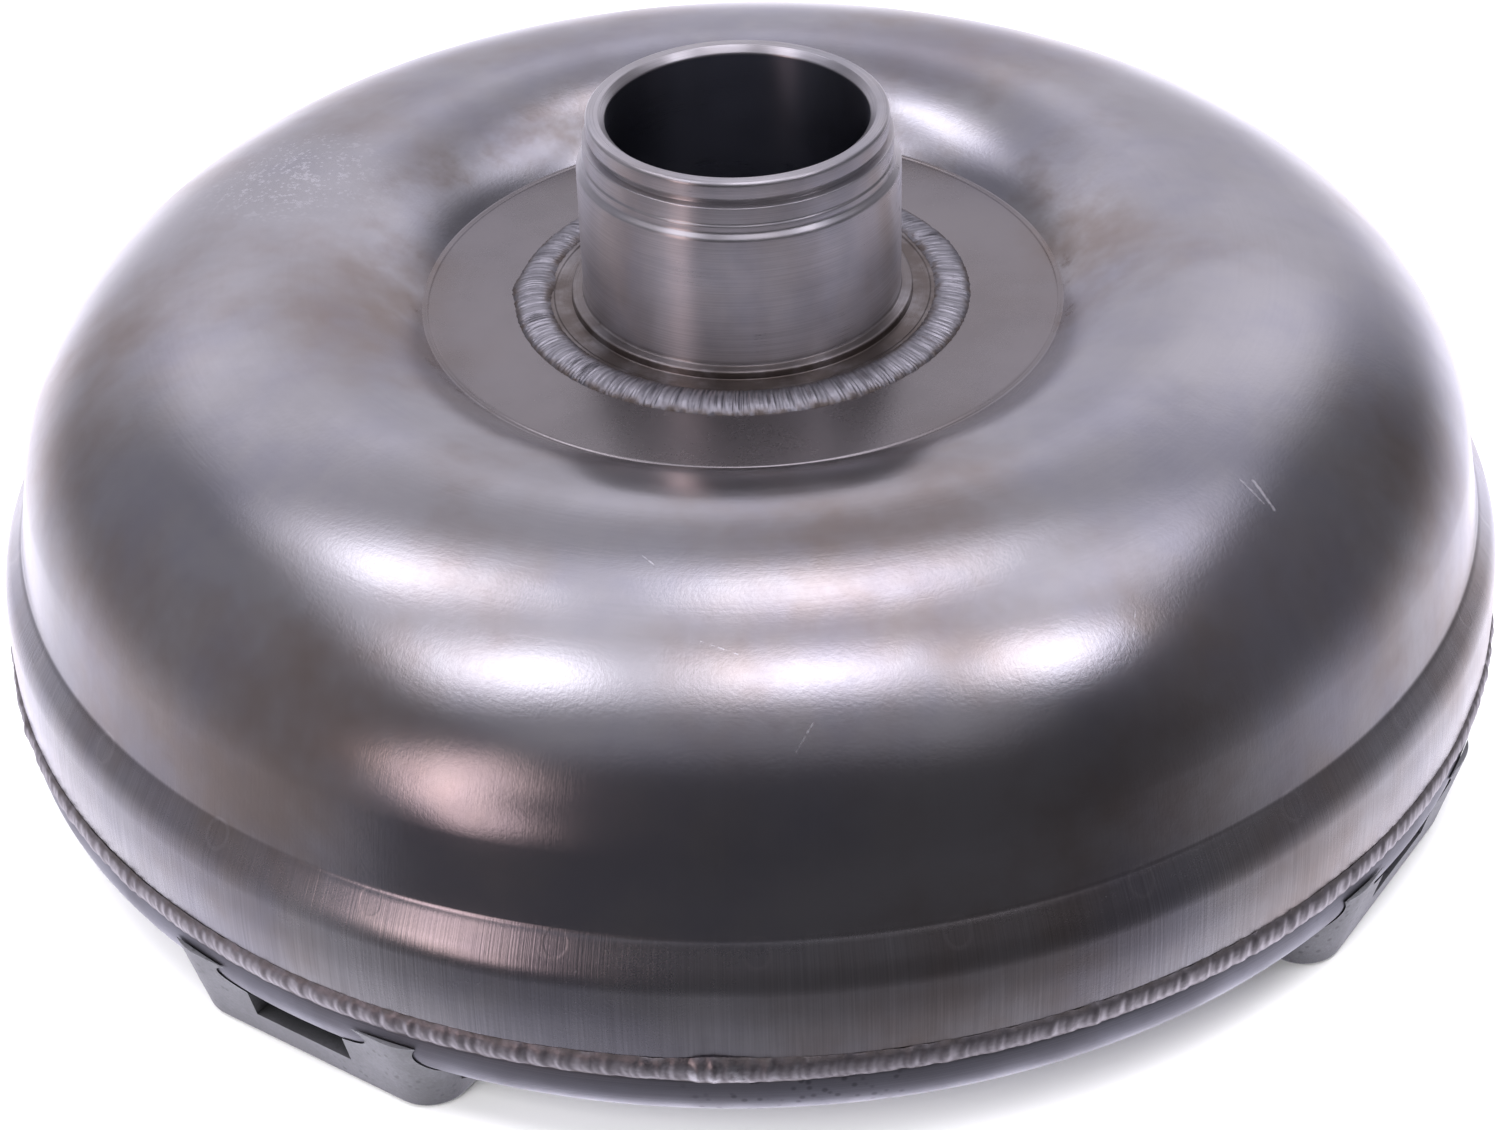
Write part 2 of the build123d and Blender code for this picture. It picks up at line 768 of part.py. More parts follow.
with BuildPart() as stator_snap_ring:
    with BuildSketch(Plane.XY.offset(cam_top + plate_thickness)):
        Circle(snap_ring_r)
        Circle(snap_ring_inner_r, mode=Mode.SUBTRACT)
        with Locations((snap_ring_r, 0)):
            Rectangle(snap_ring_r / 2, snap_ring_gap / 3, mode=Mode.SUBTRACT)
    extrude(amount=snap_ring_thickness)
save(stator_snap_ring, "stator_snap_ring")


# ================================================================ needle thrust bearings
def bearing_washer(bottom, inner_r, outer_r):
    """Hardened flat washer."""
    with BuildPart() as washer:
        with BuildSketch(Plane.XY.offset(bottom)):
            Circle(outer_r)
            Circle(inner_r, mode=Mode.SUBTRACT)
        extrude(amount=washer_thickness)
    return washer


def needle_bearing(name, bottom, inner_r, outer_r):
    """Two washers, a cage and its needles; the washers stay with their own neighbours."""
    middle = bottom + bearing_height / 2
    needle_length = outer_r - inner_r - 2 * needle_margin
    needle_middle_r = (outer_r + inner_r) / 2
    save(bearing_washer(bottom, inner_r, outer_r), f"{name}_lower_washer")
    upper = bottom + bearing_height - washer_thickness
    save(bearing_washer(upper, inner_r, outer_r), f"{name}_upper_washer")
    with BuildPart() as cage:
        with BuildSketch(Plane.XY.offset(middle - cage_thickness / 2)):
            Circle(outer_r)
            Circle(inner_r, mode=Mode.SUBTRACT)
            with PolarLocations(needle_middle_r, needle_count):
                Rectangle(needle_length + 0.2, 2 * needle_r, mode=Mode.SUBTRACT)
        extrude(amount=cage_thickness)
    save(cage, f"{name}_cage")
    with BuildPart() as needle:
        with BuildSketch(Plane.YZ.offset(needle_middle_r - needle_length / 2)):
            with Locations((0, middle)):
                Circle(needle_r)
        extrude(amount=needle_length)
    with BuildPart() as needles:
        with PolarLocations(0, needle_count):
            add(needle.part)
    save(needles, f"{name}_needles")


needle_bearing("cover_bearing", cover_floor_z, locating_boss_r + 0.5, 38.0)
needle_bearing("middle_bearing", turbine_hub_top, 29.0, 41.0)
needle_bearing("pump_bearing", hub_face_z - bearing_height, 29.0, 41.0)
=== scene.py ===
"""Looks of the torque converter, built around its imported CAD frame.

Metres, with the lug faces on Z = 0 and the shaft axis along +Z. Outer pieces are turned or swept
surfaces worked out with numpy; inner pieces keep their CAD shape and get a finish of their own.
"""

import json
import logging
import math
from dataclasses import dataclass
from enum import Enum
from typing import Any, Callable, Sequence

import bmesh
import bpy
import numpy as np
from mathutils import Matrix, Vector


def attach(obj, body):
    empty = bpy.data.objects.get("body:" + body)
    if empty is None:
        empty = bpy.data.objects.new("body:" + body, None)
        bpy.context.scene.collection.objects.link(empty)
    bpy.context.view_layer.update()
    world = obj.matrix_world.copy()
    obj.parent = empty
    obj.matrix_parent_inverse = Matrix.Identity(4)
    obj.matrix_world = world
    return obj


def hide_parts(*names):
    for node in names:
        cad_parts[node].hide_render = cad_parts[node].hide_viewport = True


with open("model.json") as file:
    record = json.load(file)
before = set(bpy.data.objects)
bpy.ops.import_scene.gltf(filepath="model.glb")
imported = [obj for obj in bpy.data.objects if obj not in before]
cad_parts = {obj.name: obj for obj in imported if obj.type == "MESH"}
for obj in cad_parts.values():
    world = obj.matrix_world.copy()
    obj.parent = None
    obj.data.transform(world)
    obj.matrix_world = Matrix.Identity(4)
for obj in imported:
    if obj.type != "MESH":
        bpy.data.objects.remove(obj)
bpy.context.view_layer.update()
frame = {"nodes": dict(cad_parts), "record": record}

LOG = logging.getLogger("torque_converter")
MM = 0.001
HOUSING = "housing"
SHARP_ANGLE = math.radians(34)
SEED = 41
QUARTER_TURN = 0.25
SEAM_END_DEG = -93.5
BEAD_VALUES = ("ripple", "edge", "scraped")
MERGE_DISTANCE = 1e-7
LONGEST_ROUNDING = 0.45
WAVES = 24

Colour = tuple[float, float, float]
WORN_STEEL: Colour = (0.86, 0.85, 0.88)
TENT_TONE: Colour = (1.0, 0.965, 1.1)


# ---------------------------------------------------------------- surfaces
def soften(corners: Sequence[tuple[float, float, float]], steps: int = 5) -> np.ndarray:
    """Rounds the corners of an open outline.

    A corner C with neighbours P and N becomes the curve (1-s)^2 A + 2s(1-s) C + s^2 B, where A and B
    lie on the two sides at the corner's own distance from C.

    Args:
        corners: (radius, height, rounding) of each corner in millimetres.
        steps: pieces in each rounded corner.

    Returns:
        Points of the outline in millimetres, one row each.
    """
    points = [np.array(corners[0][:2])]
    share = np.linspace(0, 1, steps + 1)[:, None]
    for before, here, after in zip(corners[:-2], corners[1:-1], corners[2:]):
        corner = np.array(here[:2])
        if here[2] <= 0:
            points.append(corner)
            continue
        to_before, to_after = np.array(before[:2]) - corner, np.array(after[:2]) - corner
        sides = [LONGEST_ROUNDING * np.linalg.norm(side) for side in (to_before, to_after)]
        reach = min(here[2], *sides)
        start = corner + to_before / np.linalg.norm(to_before) * reach
        end = corner + to_after / np.linalg.norm(to_after) * reach
        points.extend((1 - share) ** 2 * start + 2 * share * (1 - share) * corner + share**2 * end)
    points.append(np.array(corners[-1][:2]))
    return np.array(points)


def add_object(name: str, data: Any) -> bpy.types.Object:
    """Makes an object of a mesh, lamp or camera and puts it in the scene.

    Args:
        name: the object's name.
        data: what it shows.

    Returns:
        The new object.
    """
    made = bpy.data.objects.new(name, data)
    bpy.context.scene.collection.objects.link(made)
    return made


def revolve(radius: np.ndarray, angle: np.ndarray, height: np.ndarray) -> np.ndarray:
    """Points in metres of millimetre radii and heights: x = r cos a, y = r sin a, z = z."""
    return np.stack([radius * np.cos(angle), radius * np.sin(angle), height], axis=-1) * MM


def round_angles(columns: int) -> np.ndarray:
    """Even angles round the axis, as one row in radians."""
    return np.linspace(0, 2 * math.pi, columns, endpoint=False)[None, :]


def grid_object(name: str, points: np.ndarray, wrap_rows: bool) -> bpy.types.Object:
    """Makes a mesh from a grid whose columns close on themselves.

    Args:
        name: the piece's name.
        points: array (rows, columns, 3) in metres.
        wrap_rows: whether the last row joins the first, as round a closed section.

    Returns:
        The new object, with closed poles and faces that point outwards.
    """
    rows, columns, _ = points.shape
    row = np.arange(rows if wrap_rows else rows - 1)[:, None]
    column = np.arange(columns)[None, :]
    next_row, next_column = (row + 1) % rows, (column + 1) % columns
    faces = np.stack(
        np.broadcast_arrays(
            row * columns + column,
            row * columns + next_column,
            next_row * columns + next_column,
            next_row * columns + column,
        ),
        axis=-1,
    ).reshape(-1, 4)
    mesh = bpy.data.meshes.new(name)
    mesh.from_pydata(points.reshape(-1, 3).tolist(), [], faces.tolist())
    joined = bmesh.new()
    joined.from_mesh(mesh)
    bmesh.ops.remove_doubles(joined, verts=joined.verts, dist=MERGE_DISTANCE)
    bmesh.ops.recalc_face_normals(joined, faces=joined.faces)
    joined.to_mesh(mesh)
    joined.free()
    mesh.polygons.foreach_set("use_smooth", np.ones(len(mesh.polygons), dtype=bool))
    mesh.set_sharp_from_angle(angle=SHARP_ANGLE)
    return add_object(name, mesh)


def lathe(
    name: str,
    outline: np.ndarray,
    columns: int,
    wrap: bool,
    swell: Callable[[np.ndarray, np.ndarray], np.ndarray] | None = None,
) -> bpy.types.Object:
    """Turns an outline round the shaft axis.

    Args:
        name: the piece's name.
        outline: (radius, height) rows in millimetres.
        columns: steps round the axis.
        wrap: whether the outline is a closed section.
        swell: extra radius in millimetres from (angles, outline rows), or None.

    Returns:
        The turned object.
    """
    angle = round_angles(columns)
    radius = np.repeat(outline[:, :1], columns, axis=1)
    if swell is not None:
        radius = radius + swell(angle, outline)
    height = np.repeat(outline[:, 1:2], columns, axis=1)
    return grid_object(name, revolve(radius, angle, height), wrap)


def round_noise(angle: np.ndarray, lowest: int, highest: int, seed: int) -> np.ndarray:
    """Seamless noise round the axis: a sum of cosines of whole frequencies, scaled to about -1 to 1.

    Args:
        angle: angles in radians.
        lowest: lowest whole frequency.
        highest: highest whole frequency.
        seed: seed of the phases.

    Returns:
        One value for each angle.
    """
    rng = np.random.default_rng(seed)
    frequency = rng.integers(lowest, highest + 1, WAVES)[:, None]
    phase = rng.uniform(0, 2 * math.pi, WAVES)[:, None]
    waves = np.cos(frequency * np.ravel(angle)[None, :] + phase)
    return (waves.sum(axis=0) / math.sqrt(WAVES / 2) / 1.6).reshape(np.shape(angle))


def near(angle: np.ndarray, centre_deg: float, width_deg: float) -> np.ndarray:
    """Bell curve exp(-(d/w)^2) of the turn d between each angle and a centre."""
    turn = np.angle(np.exp(1j * (angle - math.radians(centre_deg))))
    return np.exp(-((turn / math.radians(width_deg)) ** 2))


# ---------------------------------------------------------------- node wiring
class Wiring:
    """Short ways to add linked nodes to one node tree."""

    def __init__(self, tree: bpy.types.NodeTree) -> None:
        """Keeps the tree that the nodes go into."""
        self.tree = tree

    def node(self, kind: str, inputs: dict[Any, Any] | None = None, **settings: Any) -> bpy.types.Node:
        """Adds a node.

        Args:
            kind: the node's type, without the leading ShaderNode.
            inputs: input name or index to a socket or a constant.
            settings: properties of the node itself.

        Returns:
            The new node.
        """
        made = self.tree.nodes.new("ShaderNode" + kind)
        for key, value in settings.items():
            setattr(made, key, value)
        return self.fill(made, inputs or {})

    def put(self, value: Any, socket: bpy.types.NodeSocket) -> None:
        """Links a socket, or writes a constant, into an input.

        Args:
            value: the socket or the constant; a colour may have three parts.
            socket: the input.
        """
        if isinstance(value, bpy.types.NodeSocket):
            self.tree.links.new(value, socket)
        elif isinstance(value, tuple) and socket.type == "RGBA":
            socket.default_value = (*value[:3], 1.0)
        else:
            socket.default_value = value

    def fill(self, node: bpy.types.Node, inputs: dict[Any, Any]) -> bpy.types.Node:
        """Puts several values into a node's inputs.

        Args:
            node: the node.
            inputs: input name or index to a socket or a constant.

        Returns:
            The same node.
        """
        for key, value in inputs.items():
            self.put(value, node.inputs[key])
        return node

    def math(self, operation: str, first: Any, second: Any = 0.0, third: Any = 0.0) -> Any:
        """Result socket of a Math node."""
        inputs = {0: first, 1: second, 2: third}
        return self.node("Math", inputs, operation=operation).outputs[0]

    def times(self, first: Any, second: Any) -> Any:
        """Product of two values."""
        return self.math("MULTIPLY", first, second)

    def plus(self, first: Any, second: Any) -> Any:
        """Sum of two values."""
        return self.math("ADD", first, second)

    def minus(self, first: Any, second: Any) -> Any:
        """First value less the second."""
        return self.math("SUBTRACT", first, second)

    def fit(self, value: Any, factor: Any, start: Any) -> Any:
        """The value times a factor, plus a start."""
        return self.math("MULTIPLY_ADD", value, factor, start)

    def vector(self, operation: str, first: Any, second: Any = (0, 0, 0)) -> bpy.types.Node:
        """A Vector Math node."""
        return self.node("VectorMath", {0: first, 1: second}, operation=operation)

    def noise(self, position: Any, scale: float, detail: float = 3.0, rough: float = 0.55) -> Any:
        """Value socket of a Noise Texture."""
        inputs = {"Vector": position, "Scale": scale, "Detail": detail, "Roughness": rough}
        return self.node("TexNoise", inputs).outputs[0]

    def step(self, value: Any, low: Any, high: Any, to_low: Any = 0.0, to_high: Any = 1.0) -> Any:
        """Smooth step of a value from low to high."""
        inputs = {"Value": value, "From Min": low, "From Max": high, "To Min": to_low, "To Max": to_high}
        return self.node("MapRange", inputs, interpolation_type="SMOOTHSTEP").outputs[0]

    def mix(self, share: Any, first: Any, second: Any, blend: str = "MIX") -> Any:
        """Colour socket of a Mix node."""
        inputs = {0: share, 6: first, 7: second}
        return self.node("Mix", inputs, data_type="RGBA", blend_type=blend).outputs[2]

    def scaled(self, vector: Any, factor: Any) -> Any:
        """Vector socket of a vector times a number."""
        return self.fill(self.vector("SCALE", vector), {"Scale": factor}).outputs[0]

    def shade(self, colour: Any, level: Any) -> Any:
        """Colour socket of a colour times a grey level."""
        grey = self.node("CombineColor", {0: level, 1: level, 2: level}).outputs[0]
        return self.mix(1.0, colour, grey, "MULTIPLY")

    def group(self, shared: bpy.types.NodeTree, **inputs: Any) -> bpy.types.Node:
        """Places a shared node group.

        Args:
            shared: the group.
            inputs: its inputs, with the spaces of a name written as underscores.

        Returns:
            The group's node.
        """
        made = self.tree.nodes.new("ShaderNodeGroup")
        made.node_tree = shared
        return self.fill(made, {key.replace("_", " "): value for key, value in inputs.items()})


VECTOR = (0.0, 0.0, 0.0)
COLOUR = (0.0, 0.0, 0.0, 1.0)


def socket_type(value: Any) -> str:
    """Socket type of a value: a colour has four parts, a vector three and a float none."""
    if not isinstance(value, tuple):
        return "NodeSocketFloat"
    return "NodeSocketColor" if len(value) == len(COLOUR) else "NodeSocketVector"


def shared_group(name: str, inputs: dict[str, Any], outputs: dict[str, Any]) -> tuple[Wiring, Any, Any]:
    """Starts a shader node group with named sockets.

    Args:
        name: the group's name.
        inputs: its inputs by name, with their usual values.
        outputs: its outputs by name, with a value of their type.

    Returns:
        The group's wiring, the sockets it is given and the sockets it puts out.
    """
    tree = bpy.data.node_groups.new(name, "ShaderNodeTree")
    for key, value in inputs.items():
        tree.interface.new_socket(key, in_out="INPUT", socket_type=socket_type(value)).default_value = value
    for key, value in outputs.items():
        tree.interface.new_socket(key, in_out="OUTPUT", socket_type=socket_type(value))
    nodes = tree.nodes
    return Wiring(tree), nodes.new("NodeGroupInput").outputs, nodes.new("NodeGroupOutput").inputs


class Effects:
    """The shader node groups that several finishes share, each built once."""

    def __init__(self) -> None:
        """Builds every group."""
        self.place = self._place()
        self.grain = self._grain()
        self.tint = self._tint()
        self.smudge = self._smudge()
        self.scratch = self._scratch()
        self.pits = self._pits()
        self.marks = self._marks()

    @staticmethod
    def _place() -> bpy.types.NodeTree:
        """Position round the shaft axis: radius, height and the unit vector that points outwards."""
        outputs = {"Radius": 0.0, "Height": 0.0, "Outward": VECTOR, "Position": VECTOR}
        wiring, _, out = shared_group("shaft place", {}, outputs)
        position = wiring.node("TexCoord").outputs["Object"]
        split = wiring.node("SeparateXYZ", {0: position})
        flat = wiring.node("CombineXYZ", {0: split.outputs[0], 1: split.outputs[1]}).outputs[0]
        wiring.put(wiring.vector("LENGTH", flat).outputs["Value"], out["Radius"])
        wiring.put(split.outputs[2], out["Height"])
        wiring.put(wiring.vector("NORMALIZE", flat).outputs[0], out["Outward"])
        wiring.put(position, out["Position"])
        return wiring.tree

    def _grain(self) -> bpy.types.NodeTree:
        """Fine tool lines: noise that is stretched round the axis, along it, or out from it."""
        inputs = {"Lines Round": 2.0, "Lines Along": 2000.0, "Lines Out": 2000.0, "Detail": 2.0}
        wiring, given, out = shared_group("tool lines", inputs, {"Value": 0.0})
        place = wiring.group(self.place)
        around = wiring.scaled(place.outputs["Outward"], given["Lines Round"])
        along = wiring.times(place.outputs["Height"], given["Lines Along"])
        outward = wiring.times(place.outputs["Radius"], given["Lines Out"])
        lift = wiring.node("CombineXYZ", {2: wiring.plus(along, outward)}).outputs[0]
        where = wiring.vector("ADD", around, lift).outputs[0]
        wiring.put(wiring.noise(where, 1.0, given["Detail"], 0.6), out["Value"])
        return wiring.tree

    def _tint(self) -> bpy.types.NodeTree:
        """Clouds of brown and blue heat colour over a steel colour."""
        inputs = {
            "Steel": (0.45, 0.44, 0.46, 1), "Brown": (0.45, 0.36, 0.3, 1),
            "Blue": (0.36, 0.38, 0.46, 1), "Brown Amount": 0.5, "Blue Amount": 0.5, "Cloud Scale": 9.0,
        }
        wiring, given, out = shared_group("heat tint", inputs, {"Colour": COLOUR, "Cloud": 0.0})
        position = wiring.group(self.place).outputs["Position"]
        scaled = wiring.scaled(position, given["Cloud Scale"])
        first = wiring.noise(scaled, 1.0, 5.0, 0.6)
        second = wiring.noise(wiring.vector("ADD", scaled, (7.3, 1.1, 3.7)).outputs[0], 1.7, 4.0, 0.6)
        brown_share = wiring.times(wiring.step(first, 0.44, 0.7), given["Brown Amount"])
        blue_share = wiring.times(wiring.step(second, 0.42, 0.68), given["Blue Amount"])
        browned = wiring.mix(brown_share, given["Steel"], given["Brown"])
        blued = wiring.mix(blue_share, browned, given["Blue"])
        wiring.put(blued, out["Colour"])
        wiring.put(first, out["Cloud"])
        return wiring.tree

    def _smudge(self) -> bpy.types.NodeTree:
        """Cloudy marks of handling and oil, as a value about 0 to 1."""
        inputs = {"Size": 40.0, "Sharpness": 0.15}
        wiring, given, out = shared_group("smudge", inputs, {"Value": 0.0})
        position = wiring.group(self.place).outputs["Position"]
        scaled = wiring.scaled(position, given["Size"])
        inputs = {"Vector": scaled, "Scale": 1.0, "Detail": 5.0, "Roughness": 0.6, "Distortion": 0.15}
        cloud = wiring.node("TexNoise", inputs).outputs[0]
        low = wiring.minus(0.52, given["Sharpness"])
        high = wiring.plus(0.52, given["Sharpness"])
        wiring.put(wiring.step(cloud, low, high), out["Value"])
        return wiring.tree

    def _scratch(self) -> bpy.types.NodeTree:
        """One straight scratch: 1 where the surface lies within its width of the line, else 0."""
        inputs = {"Start": (0, 0, 0), "Run": (0.01, 0, 0), "Width": 0.0004, "Before": 0.0}
        wiring, given, out = shared_group("scratch", inputs, {"Mask": 0.0})
        position = wiring.group(self.place).outputs["Position"]
        away = wiring.vector("SUBTRACT", position, given["Start"]).outputs[0]
        along = wiring.vector("DOT_PRODUCT", away, given["Run"]).outputs["Value"]
        whole = wiring.vector("DOT_PRODUCT", given["Run"], given["Run"]).outputs["Value"]
        share = wiring.node("Clamp", {0: wiring.math("DIVIDE", along, whole)}).outputs[0]
        nearest = wiring.scaled(given["Run"], share)
        gap = wiring.vector("LENGTH", wiring.vector("SUBTRACT", away, nearest).outputs[0])
        rough = wiring.noise(position, 900.0, 2.0)
        wavering = wiring.fit(rough, 0.0006, gap.outputs["Value"])
        edge = wiring.plus(given["Width"], 0.0003)
        mask = wiring.step(wavering, edge, wiring.times(edge, 0.5))
        wiring.put(wiring.math("MAXIMUM", mask, given["Before"]), out["Mask"])
        return wiring.tree

    def _pits(self) -> bpy.types.NodeTree:
        """Scattered small specks, as a mask of 0 to 1."""
        inputs = {"Spacing": 300.0, "Amount": 0.5}
        wiring, given, out = shared_group("specks", inputs, {"Mask": 0.0})
        position = wiring.group(self.place).outputs["Position"]
        scaled = wiring.scaled(position, given["Spacing"])
        cells = wiring.node("TexVoronoi", {"Vector": scaled, "Scale": 1.0}, feature="F1")
        spot = wiring.step(cells.outputs["Distance"], 0.34, 0.12)
        patch = wiring.noise(position, 22.0, 3.0)
        limit = wiring.minus(0.85, wiring.times(given["Amount"], 0.5))
        few = wiring.step(patch, limit, wiring.plus(limit, 0.08))
        wiring.put(wiring.times(spot, few), out["Mask"])
        return wiring.tree

    def _marks(self) -> bpy.types.NodeTree:
        """A row of round marks spaced evenly round the axis at one height: ring and centre masks."""
        inputs = {"Count": 27.0, "Turn": 0.0, "Height": 0.05, "Mark Radius": 0.0025}
        wiring, given, out = shared_group("round marks", inputs, {"Ring": 0.0, "Centre": 0.0})
        place = wiring.group(self.place)
        split = wiring.node("SeparateXYZ", {0: place.outputs["Outward"]})
        angle = wiring.math("ARCTAN2", split.outputs[1], split.outputs[0])
        turns = wiring.times(wiring.plus(angle, given["Turn"]), 1 / (2 * math.pi))
        cell = wiring.math("FRACT", wiring.times(wiring.plus(turns, 1.0), given["Count"]))
        arc = wiring.math("DIVIDE", wiring.minus(cell, 0.5), given["Count"])
        across = wiring.times(wiring.times(arc, 2 * math.pi), place.outputs["Radius"])
        up = wiring.minus(place.outputs["Height"], given["Height"])
        apart = wiring.math("SQRT", wiring.plus(wiring.times(across, across), wiring.times(up, up)))
        rim = wiring.math("ABSOLUTE", wiring.minus(apart, given["Mark Radius"]))
        wiring.put(wiring.step(rim, 0.0006, 0.0001), out["Ring"])
        core = wiring.times(given["Mark Radius"], 0.8)
        wiring.put(wiring.step(apart, given["Mark Radius"], core), out["Centre"])
        return wiring.tree


# ---------------------------------------------------------------- finishes
class ToolLines(Enum):
    """Which way the tool marks of a finish run."""

    ROUND = (1.5, 9000.0, 9000.0)
    NONE = (40.0, 250.0, 250.0)


def bump(wiring: Wiring, height: Any, depth: float) -> Any:
    """Normal socket of a Bump node whose depth is in metres."""
    return wiring.node("Bump", {"Height": height, "Distance": depth}).outputs[0]


def new_material(name: str) -> tuple[bpy.types.Material, Wiring, bpy.types.Node]:
    """An empty material with its wiring and its Principled shader."""
    made = bpy.data.materials.new(name)
    made.use_nodes = True
    return made, Wiring(made.node_tree), made.node_tree.nodes["Principled BSDF"]


@dataclass(frozen=True)
class SteelFinish:
    """Bare metal with tool lines, heat tint and smudges."""

    name: str
    steel: Colour
    brown: Colour
    blue: Colour
    brown_amount: float = 0.4
    blue_amount: float = 0.4
    cloud_scale: float = 30.0
    roughness: float = 0.3
    roughness_spread: float = 0.12
    lines: ToolLines = ToolLines.ROUND
    line_depth: float = 0.00002
    anisotropy: float = 0.0

    def material(self, effects: Effects) -> bpy.types.Material:
        """Builds the material.

        Args:
            effects: the shared node groups.

        Returns:
            The finished material.
        """
        made, wiring, shader = new_material(self.name)
        tint = wiring.group(
            effects.tint, Steel=self.steel, Brown=self.brown, Blue=self.blue,
            Brown_Amount=self.brown_amount, Blue_Amount=self.blue_amount, Cloud_Scale=self.cloud_scale,
        )
        round_lines, along_lines, out_lines = self.lines.value
        grain = wiring.group(
            effects.grain, Lines_Round=round_lines, Lines_Along=along_lines, Lines_Out=out_lines
        ).outputs[0]
        smudge = wiring.group(effects.smudge, Size=60.0, Sharpness=0.2).outputs[0]
        specks = wiring.group(effects.pits, Spacing=420.0, Amount=0.55).outputs[0]
        colour = wiring.shade(tint.outputs["Colour"], wiring.step(grain, 0.25, 0.75, 0.82, 1.08))
        colour = wiring.mix(wiring.times(specks, 0.6), colour, tuple(0.35 * c for c in self.steel))
        # local tone; the hub's version paints burnt oil and shade at its foot and painted shade in its bore
        colour = self.local_tone(wiring, effects, colour)
        rough = wiring.fit(smudge, self.roughness_spread, self.roughness)
        rough = wiring.fit(grain, 0.08, rough)
        wiring.fill(shader, {
            "Base Color": colour, "Roughness": rough, "Metallic": 1.0,
            "Normal": bump(wiring, grain, self.line_depth),
        })
        if self.anisotropy:
            tangent = wiring.node("Tangent", direction_type="RADIAL", axis="Z").outputs[0]
            wiring.fill(shader, {
                "Anisotropic": self.anisotropy, "Anisotropic Rotation": QUARTER_TURN, "Tangent": tangent,
            })
        return made

    def local_tone(self, wiring: Wiring, effects: Effects, colour: Any) -> Any:
        """Local colour; a plain steel has none."""
        return colour


@dataclass(frozen=True)
class HubFinish(SteelFinish):
    """Ground hub steel with burnt oil and painted shade round its foot, and painted shade in its bore."""

    foot_height: float = 95.2 * MM
    bore_radius: float = 27.0 * MM
    mouth_height: float = 132.4 * MM
    # brown of burnt oil, also used as painted shade in the corner at the hub's foot
    oil: Colour = (0.15, 0.12, 0.1)
    # painted shade colour for the inside of the bore
    shade: Colour = (0.3, 0.31, 0.36)

    def local_tone(self, wiring: Wiring, effects: Effects, colour: Any) -> Any:
        """Paints burnt oil and painted shade round the foot, and painted shade in the bore.

        Args:
            wiring: the material's wiring.
            effects: the shared node groups.
            colour: the steel's colour.

        Returns:
            Colour socket.
        """
        place = wiring.group(effects.place)
        radius, height = place.outputs["Radius"], place.outputs["Height"]
        # foot: burnt oil and painted shade in patches, in the corner where the hub meets its weld
        foot = wiring.step(height, self.foot_height + 0.0006, self.foot_height - 0.0012)
        oil_and_shade_patches = wiring.step(wiring.noise(place.outputs["Position"], 90.0, 4.0, 0.65), 0.25, 0.6, 0.5, 0.92)
        oiled_and_shaded = wiring.mix(wiring.times(foot, oil_and_shade_patches), colour, self.oil)
        # bore: painted shade inside the bore, below its mouth
        inside = wiring.step(radius, self.bore_radius + 0.0004, self.bore_radius - 0.0004)
        deep = wiring.step(height, self.mouth_height + 0.0004, self.mouth_height - 0.0004)
        return wiring.mix(wiring.times(inside, deep), oiled_and_shaded, self.shade)


@dataclass(frozen=True)
class Scrape:
    """One visible scratch on the shell, from one point on its surface to another."""

    start: tuple[float, float, float]
    end: tuple[float, float, float]
    width: float = 0.35

    def place(self) -> tuple[tuple[float, ...], tuple[float, ...]]:
        """Start and run of the scratch in metres.

        Each end is (degrees to the right of the front, radius, height) with lengths in millimetres.

        Returns:
            The start point and the vector to the end point.
        """
        ends = []
        for azimuth, radius, height in (self.start, self.end):
            turn = math.radians(azimuth)
            ends.append(np.array([radius * math.sin(turn), -radius * math.cos(turn), height]) * MM)
        return tuple(ends[0]), tuple(ends[1] - ends[0])


